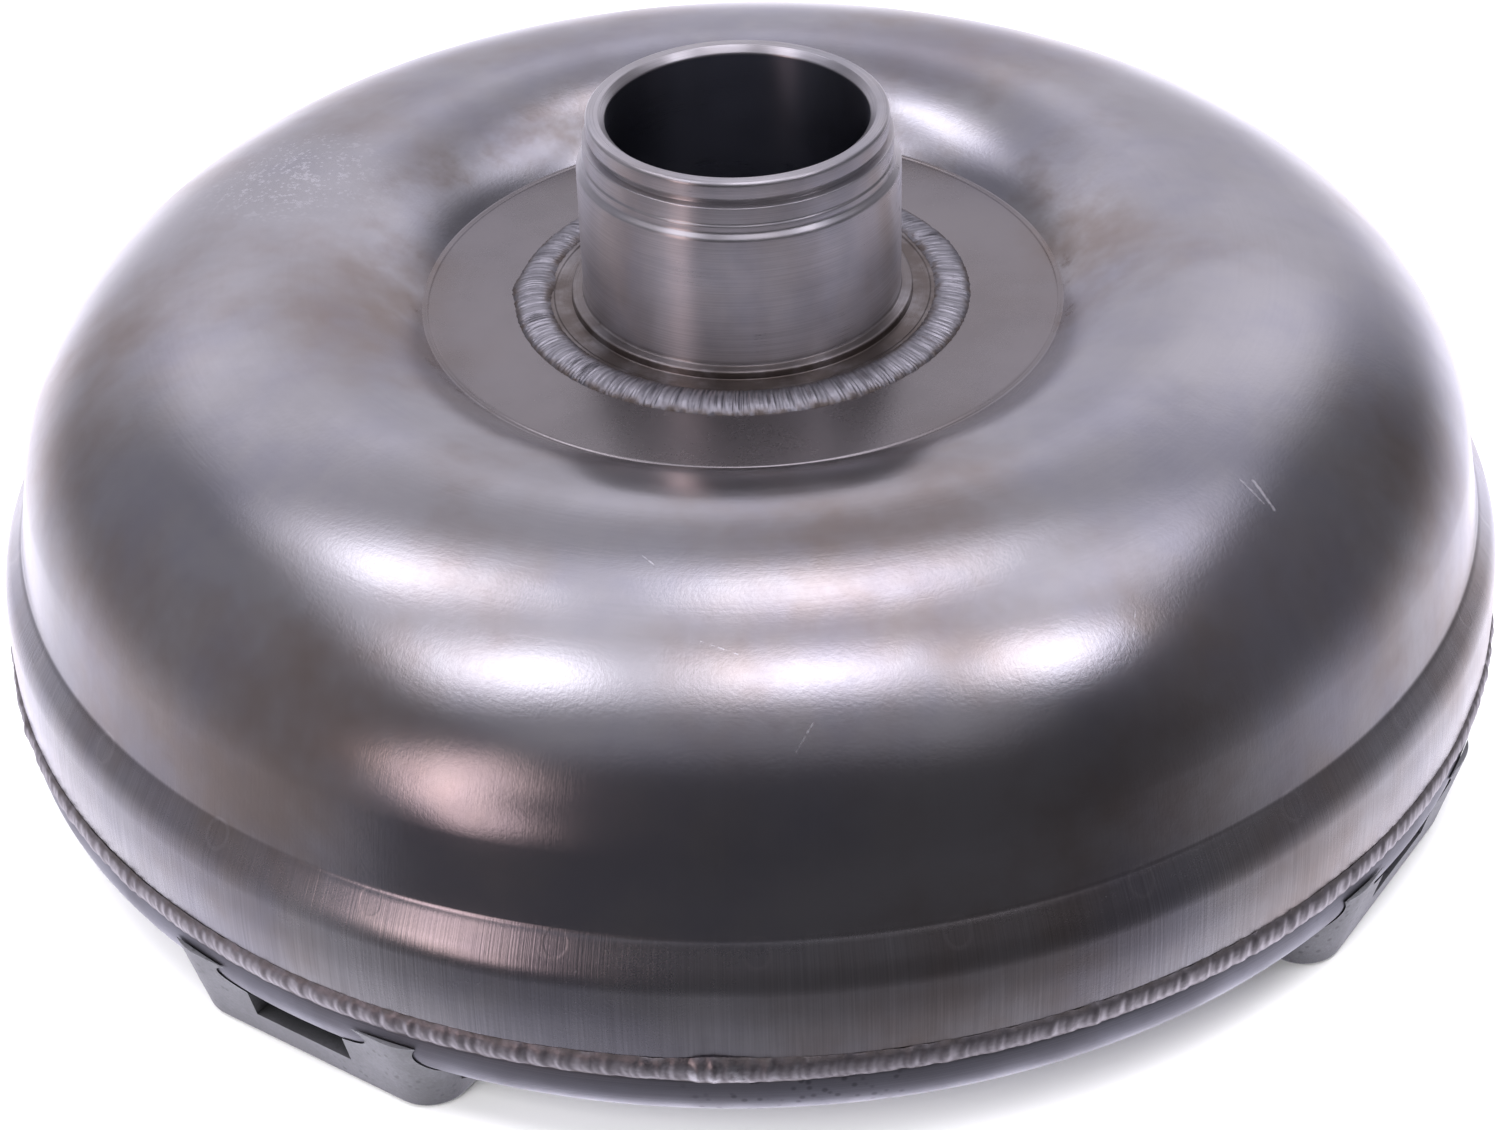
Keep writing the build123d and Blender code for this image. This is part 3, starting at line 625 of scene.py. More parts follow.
@dataclass(frozen=True)
class ShellFinish:
    """Polished, heat-tinted pressing: dome, dull disc, brown residue, upright lines on the skirt."""

    name: str = "shell_steel"
    dome: Colour = (0.56, 0.55, 0.56)
    brown: Colour = (0.41, 0.34, 0.3)
    blue: Colour = (0.45, 0.45, 0.52)
    disc: Colour = (0.29, 0.265, 0.26)
    oil_brown: Colour = (0.27, 0.2, 0.15)
    scale_brown: Colour = (0.16, 0.105, 0.07)
    mark_rim: Colour = (0.72, 0.68, 0.68)
    roughness: float = 0.165
    disc_radius: float = 65.5 * MM
    skirt_top: float = 51.0 * MM
    mark_height: float = 50.1 * MM
    mark_count: int = 27
    mark_turn: float = math.radians(123.67)
    mark_radius: float = 2.4 * MM
    fleck_centre: tuple[float, float, float] = (-0.0945, 0.034, 0.1036)

    def material(self, effects: Effects, scrapes: Sequence[Scrape]) -> bpy.types.Material:
        """Builds the material.

        Args:
            effects: the shared node groups.
            scrapes: the scratches that show.

        Returns:
            The finished material.
        """
        made, wiring, shader = new_material(self.name)
        place = wiring.group(effects.place)
        radius, height = place.outputs["Radius"], place.outputs["Height"]
        tint = wiring.group(
            effects.tint, Steel=self.dome, Brown=self.brown, Blue=self.blue,
            Brown_Amount=0.9, Blue_Amount=0.6, Cloud_Scale=13.0,
        )
        rings = wiring.group(effects.grain, Lines_Round=2.5, Lines_Along=2600.0, Lines_Out=2600.0).outputs[0]
        upright = wiring.group(effects.grain, Lines_Round=420.0, Lines_Along=45.0, Lines_Out=45.0).outputs[0]
        fine = wiring.noise(place.outputs["Position"], 1300.0, 3.0, 0.65)
        broad = wiring.group(effects.smudge, Size=24.0, Sharpness=0.2).outputs[0]
        on_skirt = wiring.step(height, self.skirt_top + 0.004, self.skirt_top - 0.002)
        on_disc = wiring.step(radius, self.disc_radius + 0.0002, self.disc_radius - 0.0002)

        radial = wiring.step(height, 0.098, 0.085)
        lines = wiring.node("Mix", {0: radial, 2: rings, 3: upright}, data_type="FLOAT").outputs[0]
        colour = wiring.mix(wiring.times(on_disc, 0.85), tint.outputs["Colour"], self.disc)
        contrast = wiring.fit(on_skirt, 0.45, 0.06)
        colour = wiring.shade(colour, wiring.fit(wiring.minus(lines, 0.5), contrast, 1.0))
        colour = wiring.shade(colour, wiring.step(broad, 0.0, 1.0, 1.03, 0.92))

        residue = self._residue(wiring, radius, place.outputs["Position"])
        haze = self._haze(wiring, radius, place.outputs["Position"])
        colour = wiring.mix(haze, colour, self.oil_brown)
        colour = wiring.mix(residue, colour, self.scale_brown)
        flecks = self._flecks(wiring, effects, place.outputs["Position"])
        marks = wiring.group(
            effects.marks, Count=float(self.mark_count), Turn=self.mark_turn,
            Height=self.mark_height, Mark_Radius=self.mark_radius,
        )
        colour = wiring.mix(wiring.times(marks.outputs["Ring"], 0.2), colour, self.mark_rim)
        worn: Any = 0.0
        for scrape in scrapes:
            start, run = scrape.place()
            width = scrape.width * MM
            worn = wiring.group(effects.scratch, Start=start, Run=run, Width=width, Before=worn).outputs[0]
        worn = wiring.math("MAXIMUM", worn, flecks)
        colour = wiring.mix(wiring.times(worn, 0.8), colour, WORN_STEEL)

        rough: Any = self.roughness
        even = ((broad, 0.05), (fine, 0.06), (on_skirt, 0.06), (on_disc, 0.05))
        for value, factor in (*even, (residue, 0.2), (worn, 0.15)):
            rough = wiring.fit(value, factor, rough)
        pressed = wiring.fit(marks.outputs["Centre"], -0.5, lines)
        pressed = wiring.times(pressed, wiring.fit(on_skirt, 3.0, 1.0))
        first = bump(wiring, pressed, 0.000007)
        second = wiring.node("Bump", {"Height": fine, "Distance": 0.000016, "Normal": first}).outputs[0]
        wiring.fill(shader, {"Base Color": colour, "Roughness": rough, "Normal": second, "Metallic": 1.0})
        return made

    def _haze(self, wiring: Wiring, radius: Any, position: Any) -> Any:
        """Mask of the brown oil haze on the dish beside and behind the hub.

        Args:
            wiring: the material's wiring.
            radius: distance from the shaft axis.
            position: position on the piece.

        Returns:
            Mask socket, 0 to 1.
        """
        away = wiring.math("ABSOLUTE", wiring.minus(radius, self.disc_radius + 0.006))
        band = wiring.step(away, 0.016, 0.001)
        rear = wiring.step(wiring.node("SeparateXYZ", {0: position}).outputs[1], -0.03, 0.045, 0.25, 1.0)
        cloud = wiring.step(wiring.noise(position, 26.0, 5.0, 0.65), 0.4, 0.68)
        return wiring.times(wiring.times(band, rear), wiring.times(cloud, 0.8))

    def _flecks(self, wiring: Wiring, effects: Effects, position: Any) -> Any:
        """Mask of a patch of pale flecks on the crest at the left.

        Args:
            wiring: the material's wiring.
            effects: the shared node groups.
            position: position on the piece.

        Returns:
            Mask socket, 0 to 1.
        """
        away = wiring.vector("DISTANCE", position, self.fleck_centre).outputs["Value"]
        patch = wiring.step(away, 0.026, 0.006)
        worn = wiring.step(wiring.noise(position, 420.0, 4.0, 0.7), 0.56, 0.63)
        dots = wiring.group(effects.pits, Spacing=700.0, Amount=1.0).outputs[0]
        return wiring.times(patch, wiring.times(wiring.math("MAXIMUM", worn, dots), 0.75))

    def _residue(self, wiring: Wiring, radius: Any, position: Any) -> Any:
        """Mask of the brown scale round the disc's edge and in streaks over the disc.

        Args:
            wiring: the material's wiring.
            radius: distance from the shaft axis.
            position: position on the piece.

        Returns:
            Mask socket, 0 to 1.
        """
        gap = wiring.math("ABSOLUTE", wiring.minus(radius, self.disc_radius + 0.0012))
        ring = wiring.step(gap, 0.0032, 0.0)
        cloud = wiring.step(wiring.noise(position, 55.0, 5.0, 0.7), 0.48, 0.66)
        patch = wiring.step(wiring.noise(position, 14.0, 3.0), 0.42, 0.62)
        return wiring.times(ring, wiring.times(cloud, patch))


@dataclass(frozen=True)
class WeldFinish:
    """Rippled weld metal: painted highlight on the crowns, painted shade in the valleys, burnt along its
    edges.
    """

    name: str
    # crown and valley colours paint the highlight and the shade of the ripples
    crown: Colour
    valley: Colour
    edge: Colour
    roughness: float
    grain_depth: float = 0.18 * MM

    def material(self, effects: Effects) -> bpy.types.Material:
        """Builds the material from the bead's own ripple, edge and scraped attributes.

        Args:
            effects: the shared node groups.

        Returns:
            The finished material.
        """
        made, wiring, shader = new_material(self.name)
        stored = [wiring.node("Attribute", attribute_name=name) for name in BEAD_VALUES]
        ripple, edge, scraped = (node.outputs["Fac"] for node in stored)
        place = wiring.group(effects.place)
        cloud = wiring.noise(place.outputs["Position"], 260.0, 5.0, 0.7)
        broad = wiring.noise(place.outputs["Position"], 45.0, 2.0)
        # colour follows a random cloud, the metal's own tone, and the ripple height: painted highlight on
        # the crowns, painted shade in the valleys
        level = wiring.fit(cloud, 0.6, wiring.fit(ripple, 0.4, -0.35))
        level = wiring.fit(broad, 0.5, level)
        colour = wiring.mix(wiring.step(level, 0.15, 0.75), self.valley, self.crown)
        colour = wiring.mix(wiring.times(scraped, wiring.step(cloud, 0.4, 0.6)), colour, WORN_STEEL)
        burnt = wiring.times(wiring.step(edge, 0.45, 1.0), wiring.step(cloud, 0.35, 0.6))
        colour = wiring.mix(wiring.times(burnt, 0.85), colour, self.edge)
        rough = wiring.fit(cloud, 0.22, self.roughness)
        rough = wiring.fit(burnt, 0.2, rough)
        rough = wiring.fit(scraped, -0.2, rough)
        normal = bump(wiring, cloud, self.grain_depth)
        wiring.fill(shader, {"Base Color": colour, "Roughness": rough, "Normal": normal, "Metallic": 1.0})
        return made


@dataclass(frozen=True)
class CastFinish:
    """Matt blasted or cast metal with a fine grain, a few stains and painted shade in its hollows."""

    name: str
    light: Colour
    dark: Colour
    roughness: float = 0.6
    metallic: float = 0.5
    grain_scale: float = 1400.0
    grain_depth: float = 0.00006
    # reach in metres of the painted shade in hollows
    painted_shade_reach: float = 0.03

    def material(self, effects: Effects) -> bpy.types.Material:
        """Builds the material.

        Args:
            effects: the shared node groups.

        Returns:
            The finished material.
        """
        made, wiring, shader = new_material(self.name)
        position = wiring.group(effects.place).outputs["Position"]
        grain = wiring.noise(position, self.grain_scale, 3.0, 0.7)
        local_tone = wiring.group(effects.smudge, Size=55.0, Sharpness=0.22).outputs[0]
        specks = wiring.group(effects.pits, Spacing=500.0, Amount=0.75).outputs[0]
        # painted shade: the colour falls towards a dark tone where ambient occlusion finds walls close by,
        # as inside the lug windows
        open_air = wiring.node("AmbientOcclusion", {"Distance": self.painted_shade_reach}, samples=8).outputs["AO"]
        level = wiring.fit(grain, 0.6, wiring.times(local_tone, 0.5))
        colour = wiring.mix(wiring.step(level, 0.15, 0.85), self.light, self.dark)
        colour = wiring.mix(wiring.times(specks, 0.5), colour, tuple(0.4 * c for c in self.dark))
        colour = wiring.mix(wiring.step(open_air, 0.05, 0.55), tuple(0.12 * c for c in self.dark), colour)
        rough = wiring.fit(local_tone, -0.12, self.roughness)
        normal = bump(wiring, grain, self.grain_depth)
        wiring.fill(shader, {
            "Base Color": colour, "Roughness": rough, "Normal": normal, "Metallic": self.metallic,
        })
        return made


@dataclass
class Finishes:
    """Every material of the converter, by the record's material slot."""

    effects: Effects

    def build(self) -> dict[str, bpy.types.Material]:
        """Makes the materials.

        Returns:
            Material slot name to material.
        """
        warm, cool = (0.46, 0.39, 0.33), (0.4, 0.41, 0.47)
        steels = [
            HubFinish("hub_ground_steel", (0.68, 0.66, 0.67), (0.5, 0.44, 0.4), (0.47, 0.48, 0.53),
                      roughness=0.24, roughness_spread=0.05, line_depth=0.000004, cloud_scale=40.0,
                      brown_amount=0.35, anisotropy=0.88),
            SteelFinish("cover_steel", (0.37, 0.37, 0.41), (0.3, 0.285, 0.29), cool,
                        roughness=0.4, brown_amount=0.25, lines=ToolLines.ROUND),
            SteelFinish("turned_steel", (0.52, 0.5, 0.49), warm, cool, roughness=0.28, brown_amount=0.45),
            SteelFinish("inner_pressings", (0.44, 0.42, 0.41), warm, cool, roughness=0.36,
                        brown_amount=0.7, lines=ToolLines.NONE),
            SteelFinish("bushing_alloy", (0.58, 0.55, 0.5), (0.5, 0.43, 0.34), (0.5, 0.5, 0.52),
                        roughness=0.34),
            SteelFinish("hardened_steel", (0.5, 0.5, 0.52), warm, cool, roughness=0.18, brown_amount=0.2),
            SteelFinish("spring_steel", (0.34, 0.37, 0.46), (0.4, 0.33, 0.28), (0.22, 0.27, 0.42),
                        roughness=0.26, blue_amount=0.7, lines=ToolLines.NONE),
        ]
        made = {steel.name: steel.material(self.effects) for steel in steels}
        welds = [
            WeldFinish("hub_weld", (0.5, 0.49, 0.52), (0.27, 0.265, 0.285), (0.2, 0.16, 0.13),
                       roughness=0.27),
            WeldFinish("seam_weld", (0.7, 0.67, 0.69), (0.45, 0.42, 0.44), (0.32, 0.29, 0.27),
                       roughness=0.36),
            WeldFinish("lug_weld", (0.36, 0.35, 0.37), (0.12, 0.115, 0.12), (0.14, 0.11, 0.09),
                       roughness=0.45),
        ]
        made.update({weld.name: weld.material(self.effects) for weld in welds})
        casts = [
            CastFinish("lug_steel", (0.27, 0.27, 0.3), (0.17, 0.17, 0.185)),
            CastFinish("stator_alloy", (0.62, 0.62, 0.64), (0.45, 0.45, 0.46), roughness=0.45, metallic=0.9),
        ]
        made.update({cast.name: cast.material(self.effects) for cast in casts})
        made["shell_steel"] = ShellFinish().material(self.effects, SCRAPES)
        return made


SCRAPES = (
    Scrape((48.2, 121.2, 97.4), (48.2, 126.6, 94.4), 0.3),
    Scrape((49.2, 122.8, 96.6), (48.6, 128.4, 93.3), 0.45),
    Scrape((2.8, 139.6, 83.7), (4.2, 136.2, 87.3), 0.18),
    Scrape((-4.2, 123.7, 96.1), (-1.2, 125.9, 94.9), 0.12),
    Scrape((31.3, 130.8, 91.7), (29.8, 134.8, 88.5), 0.12),
    Scrape((-10.2, 107.6, 102.2), (-8.8, 109.7, 101.7), 0.15),
)


# ---------------------------------------------------------------- sub-assemblies
@dataclass
class Dresser:
    """Puts new pieces on their body and gives each its finish."""

    materials: dict[str, bpy.types.Material]

    def finish(self, piece: bpy.types.Object, slot: str, *nodes: str) -> bpy.types.Object:
        """Dresses a new housing piece that stands for CAD nodes.

        Args:
            piece: the new object.
            slot: the record's material slot.
            nodes: the CAD nodes that it replaces.

        Returns:
            The same object.
        """
        piece.data.materials.append(self.materials[slot])
        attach(piece, HOUSING)
        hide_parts(*nodes)
        LOG.info("%s: %d faces, finish %s", piece.name, len(piece.data.polygons), slot)
        return piece


class Turned:
    """A piece turned round the shaft axis from the section that its outline gives."""

    piece: str
    material_slot: str
    replaced: str
    columns: int
    closed: bool = True
    swell: Callable[[np.ndarray, np.ndarray], np.ndarray] | None = None

    def outline(self) -> np.ndarray:
        """Section of the piece as (radius, height) rows in millimetres."""
        raise NotImplementedError

    def build(self, dresser: Dresser) -> None:
        """Makes and dresses the piece."""
        made = lathe(self.piece, self.outline(), self.columns, self.closed, self.swell)
        dresser.finish(made, self.material_slot, self.replaced)


@dataclass
class PumpShell(Turned):
    """The pressed pump shell: disc, dish, bowl, crease and skirt."""

    piece = "pump_shell_pressing"
    material_slot = "shell_steel"
    replaced = "impeller_shell"
    crest_radius: float = 94.6
    crest_height: float = 103.8
    disc_radius: float = 65.5
    disc_height: float = 92.1
    bulge_radius: float = 149.9
    bulge_height: float = 60.2
    crease: tuple[float, float] = (151.9, 51.5)
    shoulder: tuple[float, float] = (156.4, 45.5)
    skirt_radius: float = 157.2
    seam_height: float = 28.0
    wall: float = 4.0
    bowl_power: float = 1.86
    bowl_end: float = math.radians(80)
    hub_radius: float = 42.0
    columns: int = 560

    def bowl(self, inset: float, steps: int) -> np.ndarray:
        """Superelliptic quarter from crest to side.

        r = crest + (side - crest) sin(t)^(2/p) and z = side + (crest - side) cos(t)^(2/p).

        Args:
            inset: how far inside the outer surface the curve lies.
            steps: number of steps along it.

        Returns:
            Points as (radius, height) rows.
        """
        turn = np.linspace(0, self.bowl_end, steps + 1)
        across = np.sin(turn) ** (2 / self.bowl_power)
        upward = np.cos(turn) ** (2 / self.bowl_power)
        radius = self.crest_radius + (self.bulge_radius - inset - self.crest_radius) * across
        height = self.bulge_height + (self.crest_height - inset - self.bulge_height) * upward
        return np.stack([radius, height], axis=1)

    def dish(self, inset: float, steps: int) -> np.ndarray:
        """Arc from the disc's edge up to the crest, level at the crest.

        Args:
            inset: how far inside the outer surface the arc lies.
            steps: number of steps along it.

        Returns:
            Points as (radius, height) rows, from the disc outwards.
        """
        rise = self.crest_height - self.disc_height
        outer = ((self.crest_radius - self.disc_radius) ** 2 + rise**2) / (2 * rise)
        inner = outer - inset
        widest = math.acos((inner - rise) / inner)
        turn = np.linspace(widest, 0, steps + 1)[:-1]
        centre = self.crest_height - outer
        return np.stack([self.crest_radius - inner * np.sin(turn), centre + inner * np.cos(turn)], axis=1)

    def outline(self) -> np.ndarray:
        """Closed section of the shell, with the etched line at the disc's edge."""
        edge = self.disc_radius
        disc = soften([
            (self.hub_radius, self.disc_height - self.wall, 0),
            (self.hub_radius, self.disc_height, 0),
            (edge - 1.4, self.disc_height, 0.3),
            (edge - 0.9, self.disc_height - 0.3, 0.2),
            (edge - 0.4, self.disc_height, 0.2),
            (edge, self.disc_height, 0),
        ], 2)
        crease_r, crease_z = self.crease
        shoulder_r, shoulder_z = self.shoulder
        outer_bowl, inner_bowl = self.bowl(0, 64), self.bowl(self.wall, 22)
        skirt = soften([
            (*outer_bowl[-1], 0),
            (self.bulge_radius + 0.4, self.bulge_height, 7.0),
            (crease_r - 0.05, crease_z + 0.5, 0.5),
            (crease_r + 0.7, crease_z - 0.4, 0.5),
            (shoulder_r, shoulder_z, 5.0),
            (self.skirt_radius, self.seam_height + 8, 3.0),
            (self.skirt_radius, self.seam_height, 0.5),
            (self.skirt_radius - self.wall, self.seam_height, 0.3),
            (self.skirt_radius - self.wall, shoulder_z - 2.4, 1.0),
            (crease_r - 3.2, crease_z - 2.4, 1.0),
            (*inner_bowl[-1], 0),
        ], 6)
        inside = np.concatenate([self.dish(self.wall, 8), inner_bowl])[::-1]
        outside = [disc[:-1], self.dish(0, 26), outer_bowl[:-1], skirt[:-1]]
        return np.concatenate([*outside, inside])

    def swell(self, angle: np.ndarray, outline: np.ndarray) -> np.ndarray:
        """Slight unevenness of the skirt and the dip of its lower edge at the end of the weld.

        Args:
            angle: angles in radians, one row.
            outline: the section's points.

        Returns:
            Extra radius in millimetres.
        """
        low = np.clip((52.0 - outline[:, 1]) / 20.0, 0, 1)[:, None]
        soft = 0.12 * round_noise(angle, 2, 9, SEED) + 0.04 * round_noise(angle, 14, 40, SEED + 1)
        return low * (soft - 0.15 - 0.35 * near(angle, SEAM_END_DEG, 2.0))


@dataclass
class PumpHub(Turned):
    """The turned pump hub with its seal groove, and the chamfers and fillets that catch the light."""

    piece = "pump_hub_turned"
    material_slot = "hub_ground_steel"
    replaced = "pump_hub"
    bore: float = 26.25
    journal: float = 32.5
    land: float = 31.0
    collar: float = 34.8
    tip: float = 30.2
    tip_height: float = 133.9
    inner_height: float = 74.5
    flange: float = 42.0
    flange_height: float = 93.1
    journal_top: float = 122.7
    land_low: float = 125.4
    land_top: float = 128.9
    lip_low: float = 130.5
    lip_inset: float = 1.8
    columns: int = 320

    def outline(self) -> np.ndarray:
        """Closed section, from the bore's inner end round the outside and back."""
        top = self.tip_height
        return soften([
            (self.bore, self.inner_height, 0),
            (self.flange, self.inner_height, 0.6),
            (self.flange, self.flange_height, 1.2),
            (38.6, self.flange_height, 0.3),
            (38.3, self.flange_height - 0.35, 0.2),
            (self.collar, self.flange_height - 0.3, 0.3),
            (self.collar, self.flange_height + 1.2, 0.3),
            (self.collar - 0.4, self.flange_height + 1.4, 0.2),
            (self.journal + 0.2, self.flange_height + 1.4, 0.3),
            (self.journal, self.flange_height + 1.7, 0.2),
            (self.journal, self.journal_top, 0.5),
            (self.land + 0.35, self.journal_top + 1.0, 0.35),
            (self.land + 0.35, self.land_low - 0.35, 0.2),
            (self.land, self.land_low, 0.2),
            (self.land, self.land_top, 0.25),
            (self.land - self.lip_inset, self.land_top, 0.2),
            (self.land - self.lip_inset, self.lip_low, 0.2),
            (self.tip, self.lip_low, 0.25),
            (self.tip, top - 0.5, 0.35),
            (self.tip - 0.5, top, 0.35),
            (self.bore + 1.4, top, 0.2),
            (self.bore, top - 1.3, 0.3),
            (self.bore, 104.0, 0),
            (self.bore, self.inner_height + 0.5, 0),
        ], 4)


@dataclass
class FrontCover(Turned):
    """The machined front cover with its rounded edge and the rim inside the skirt."""

    piece = "front_cover_machined"
    material_slot = "cover_steel"
    replaced = "front_cover"
    closed = False
    side: float = 157.2
    face_height: float = 10.0
    edge_rounding: float = 10.0
    shoulder_height: float = 23.0
    rim: float = 153.1
    rim_height: float = 42.0
    floor_height: float = 15.0
    step_height: float = 1.2
    boss: float = 23.5
    columns: int = 400

    def outline(self) -> np.ndarray:
        """Section from the axis under the cover, up its side, over the rim and back to the axis."""
        turn = np.linspace(-math.pi / 2, 0, 13)
        corner_r, corner_z = self.side - 0.3 - self.edge_rounding, self.face_height + self.edge_rounding
        across, upward = self.edge_rounding * np.cos(turn), self.edge_rounding * np.sin(turn)
        rounded = np.stack([corner_r + across, corner_z + upward], axis=1)
        below = soften([
            (0, self.face_height, 0),
            (40, self.face_height, 0),
            (62, self.face_height, 3.0),
            (66, self.face_height + self.step_height, 3.0),
            (100, self.face_height + self.step_height, 3.0),
            (104, self.face_height, 3.0),
            (corner_r - 2, self.face_height, 0),
        ], 5)
        above = soften([
            (self.side - 0.3, self.shoulder_height - 1.0, 0),
            (self.side - 0.5, self.shoulder_height, 0.4),
            (self.rim, self.shoulder_height + 4, 0.3),
            (self.rim, self.rim_height, 0.5),
            (self.rim - 7, self.rim_height, 0.5),
            (self.rim - 7, self.floor_height, 7.0),
            (self.boss, self.floor_height, 0.4),
            (self.boss, self.floor_height + 2, 0.4),
            (0, self.floor_height + 2, 0),
        ], 5)
        return np.concatenate([below, rounded, above])


@dataclass(frozen=True)
class Blob:
    """A start or stop of a weld, where the bead is wider and higher."""

    angle: float
    width: float
    height: float
    spread: float = 0.0


@dataclass
class RingWeld:
    """A weld bead that runs round the axis between two edges, rippled by its own torch passes."""

    name: str
    slot: str
    node: str
    upper: tuple[float, float]
    lower: tuple[float, float]
    root: tuple[float, float]
    crown: float
    pitch: float
    ripple: float
    waver: float
    columns: int
    seed: int
    blobs: tuple[Blob, ...] = ()
    across: int = 11
    scrape_at: float = 0.0
    scrape_width: float = 0.0
    drift: float = 0.35
    bow: float = 1.25

    def build(self, dresser: Dresser) -> None:
        """Sweeps the bead and stores how high and how far out each point lies.

        At a share v across the bead, the point is upper + (lower - upper) v, moved out by
        crown sqrt(sin(pi v)) plus ripples |cos| of the arc length less a bow of (2v - 1)^2,
        so each ripple is a crescent that trails at its ends.
        """
        angle = round_angles(self.columns)
        share = np.linspace(0, 1, self.across)[:, None]
        upper, lower, root = (np.array(p) for p in (self.upper, self.lower, self.root))
        span = lower - upper
        outward = np.array([-span[1], span[0]]) / np.linalg.norm(span)
        outward = outward * np.sign(np.dot(outward, (upper + lower) / 2 - root))
        mean_radius = (self.upper[0] + self.lower[0]) / 2
        ripples = round(2 * math.pi * mean_radius / self.pitch)
        drift = self.drift * round_noise(angle, 20, 160, self.seed)
        bow = self.bow * (2 * share - 1) ** 2
        wave = np.abs(np.cos(ripples * angle / 2 + drift * 2 - bow * 2))
        arch = np.sqrt(np.clip(np.sin(math.pi * share), 0, 1))
        lump, wide = np.zeros_like(angle), np.zeros_like(angle)
        for blob in self.blobs:
            bell = near(angle, blob.angle, blob.width)
            lump, wide = lump + blob.height * bell, wide + blob.spread * bell
        coarse = round_noise(angle, 30, 120, self.seed + 1)
        fine = round_noise(angle, 160, 420, self.seed + 2)
        rough = self.waver * (0.5 * coarse + 0.5 * fine)
        lift = arch * (self.crown + lump + self.ripple * (wave - 0.6) + rough)
        edge_move = 0.45 * self.waver * round_noise(angle, 40, 240, self.seed + 3) + wide
        stretch = 1 + (np.abs(2 * share - 1) ** 2) * edge_move / np.linalg.norm(span) * 2
        along = 0.5 + (share - 0.5) * stretch
        radius = upper[0] + span[0] * along + outward[0] * lift
        height = upper[1] + span[1] * along + outward[1] * lift
        radius = np.concatenate([radius, np.full_like(angle, root[0])])
        height = np.concatenate([height, np.full_like(angle, root[1])])
        piece = grid_object(self.name, revolve(radius, angle, height), True)
        self._paint(piece, angle, wave * arch, share)
        dresser.finish(piece, self.slot, self.node)

    def _paint(
        self, piece: bpy.types.Object, angle: np.ndarray, ripple: np.ndarray, share: np.ndarray
    ) -> None:
        """Stores ripple height, nearness to an edge and the scraped stretch on the mesh.

        Args:
            piece: the bead.
            angle: angles in radians, one row.
            ripple: ripple value at each point of its upper surface.
            share: place across the bead.
        """
        ripple = np.concatenate([ripple, np.zeros((1, self.columns))])
        edge = np.repeat(np.abs(2 * share - 1), self.columns, axis=1)
        edge = np.concatenate([edge, np.ones((1, self.columns))])
        patchy = 0.5 + 0.5 * round_noise(angle, 60, 300, self.seed + 4)
        scraped = np.zeros_like(angle)
        if self.scrape_width:
            scraped = np.clip(near(angle, self.scrape_at, self.scrape_width) * patchy, 0, 1)
        scraped = np.repeat(scraped, self.across + 1, axis=0)
        for name, values in zip(BEAD_VALUES, (ripple, edge, scraped)):
            attribute = piece.data.attributes.new(name, "FLOAT", "POINT")
            attribute.data.foreach_set("value", values.ravel().astype(np.float32))


@dataclass
class CrankPilot(Turned):
    """The turned pilot under the cover."""

    piece = "crank_pilot_turned"
    material_slot = "turned_steel"
    replaced = "crank_pilot"
    closed = False
    radius: float = 25.0
    low: float = 2.0
    flange: float = 29.0
    face_height: float = 10.0
    centre: float = 6.0
    columns: int = 160

    def outline(self) -> np.ndarray:
        """Section from the centre hole's floor down and round the outside to the cover."""
        return soften([
            (0, self.low + 5, 0),
            (2, self.low + 5, 0),
            (self.centre, self.low + 5, 0.2),
            (self.centre, self.low + 1.2, 0.2),
            (self.centre + 1.2, self.low, 0.2),
            (self.radius - 1.5, self.low, 0.3),
            (self.radius, self.low + 1.5, 0.3),
            (self.radius, self.face_height - 2, 0.3),
            (self.flange, self.face_height - 2, 0.3),
            (self.flange, self.face_height, 0),
            (0, self.face_height, 0),
        ], 4)


@dataclass
class InnerWorks:
    """The CAD pieces that keep their own shape: lugs, nuts, turbine, stator, clutch and bearings."""

    materials: dict[str, bpy.types.Material]

    def dress(self) -> None:
        """Gives every CAD node that still shows the material of its record slot."""
        slots = {part["node"]: part["material_slot"] for part in frame["record"]["subparts"]}
        for node, piece in frame["nodes"].items():
            if piece.hide_render:
                continue
            material = self.materials[slots[node]]
            if not piece.data.materials:
                piece.data.materials.append(material)
            for place in piece.material_slots:
                place.material = material
            LOG.info("%s keeps its CAD shape, finish %s", node, material.name)


# ---------------------------------------------------------------- studio
@dataclass(frozen=True)
class Panel:
    """One soft rectangle of light, in degrees from straight up along X and Y."""

    x: float
    y: float
    half_x: float
    half_y: float
    edge: float
    strength: float
    tone: Colour = TENT_TONE

    def add_to(self, wiring: Wiring, x: Any, y: Any, before: Any) -> Any:
        """Adds the panel's light.

        Args:
            wiring: the world's wiring.
            x: place along X of the direction looked in.
            y: place along Y.
            before: colour of the light so far.

        Returns:
            Colour socket of the sum.
        """
        masks = []
        for value, centre, half in ((x, self.x, self.half_x), (y, self.y, self.half_y)):
            away = wiring.math("ABSOLUTE", wiring.minus(value, centre))
            masks.append(wiring.step(away, half + self.edge, half - self.edge))
        lit = wiring.scaled(tuple(self.strength * c for c in self.tone), wiring.times(*masks))
        return wiring.vector("ADD", before, lit).outputs[0]


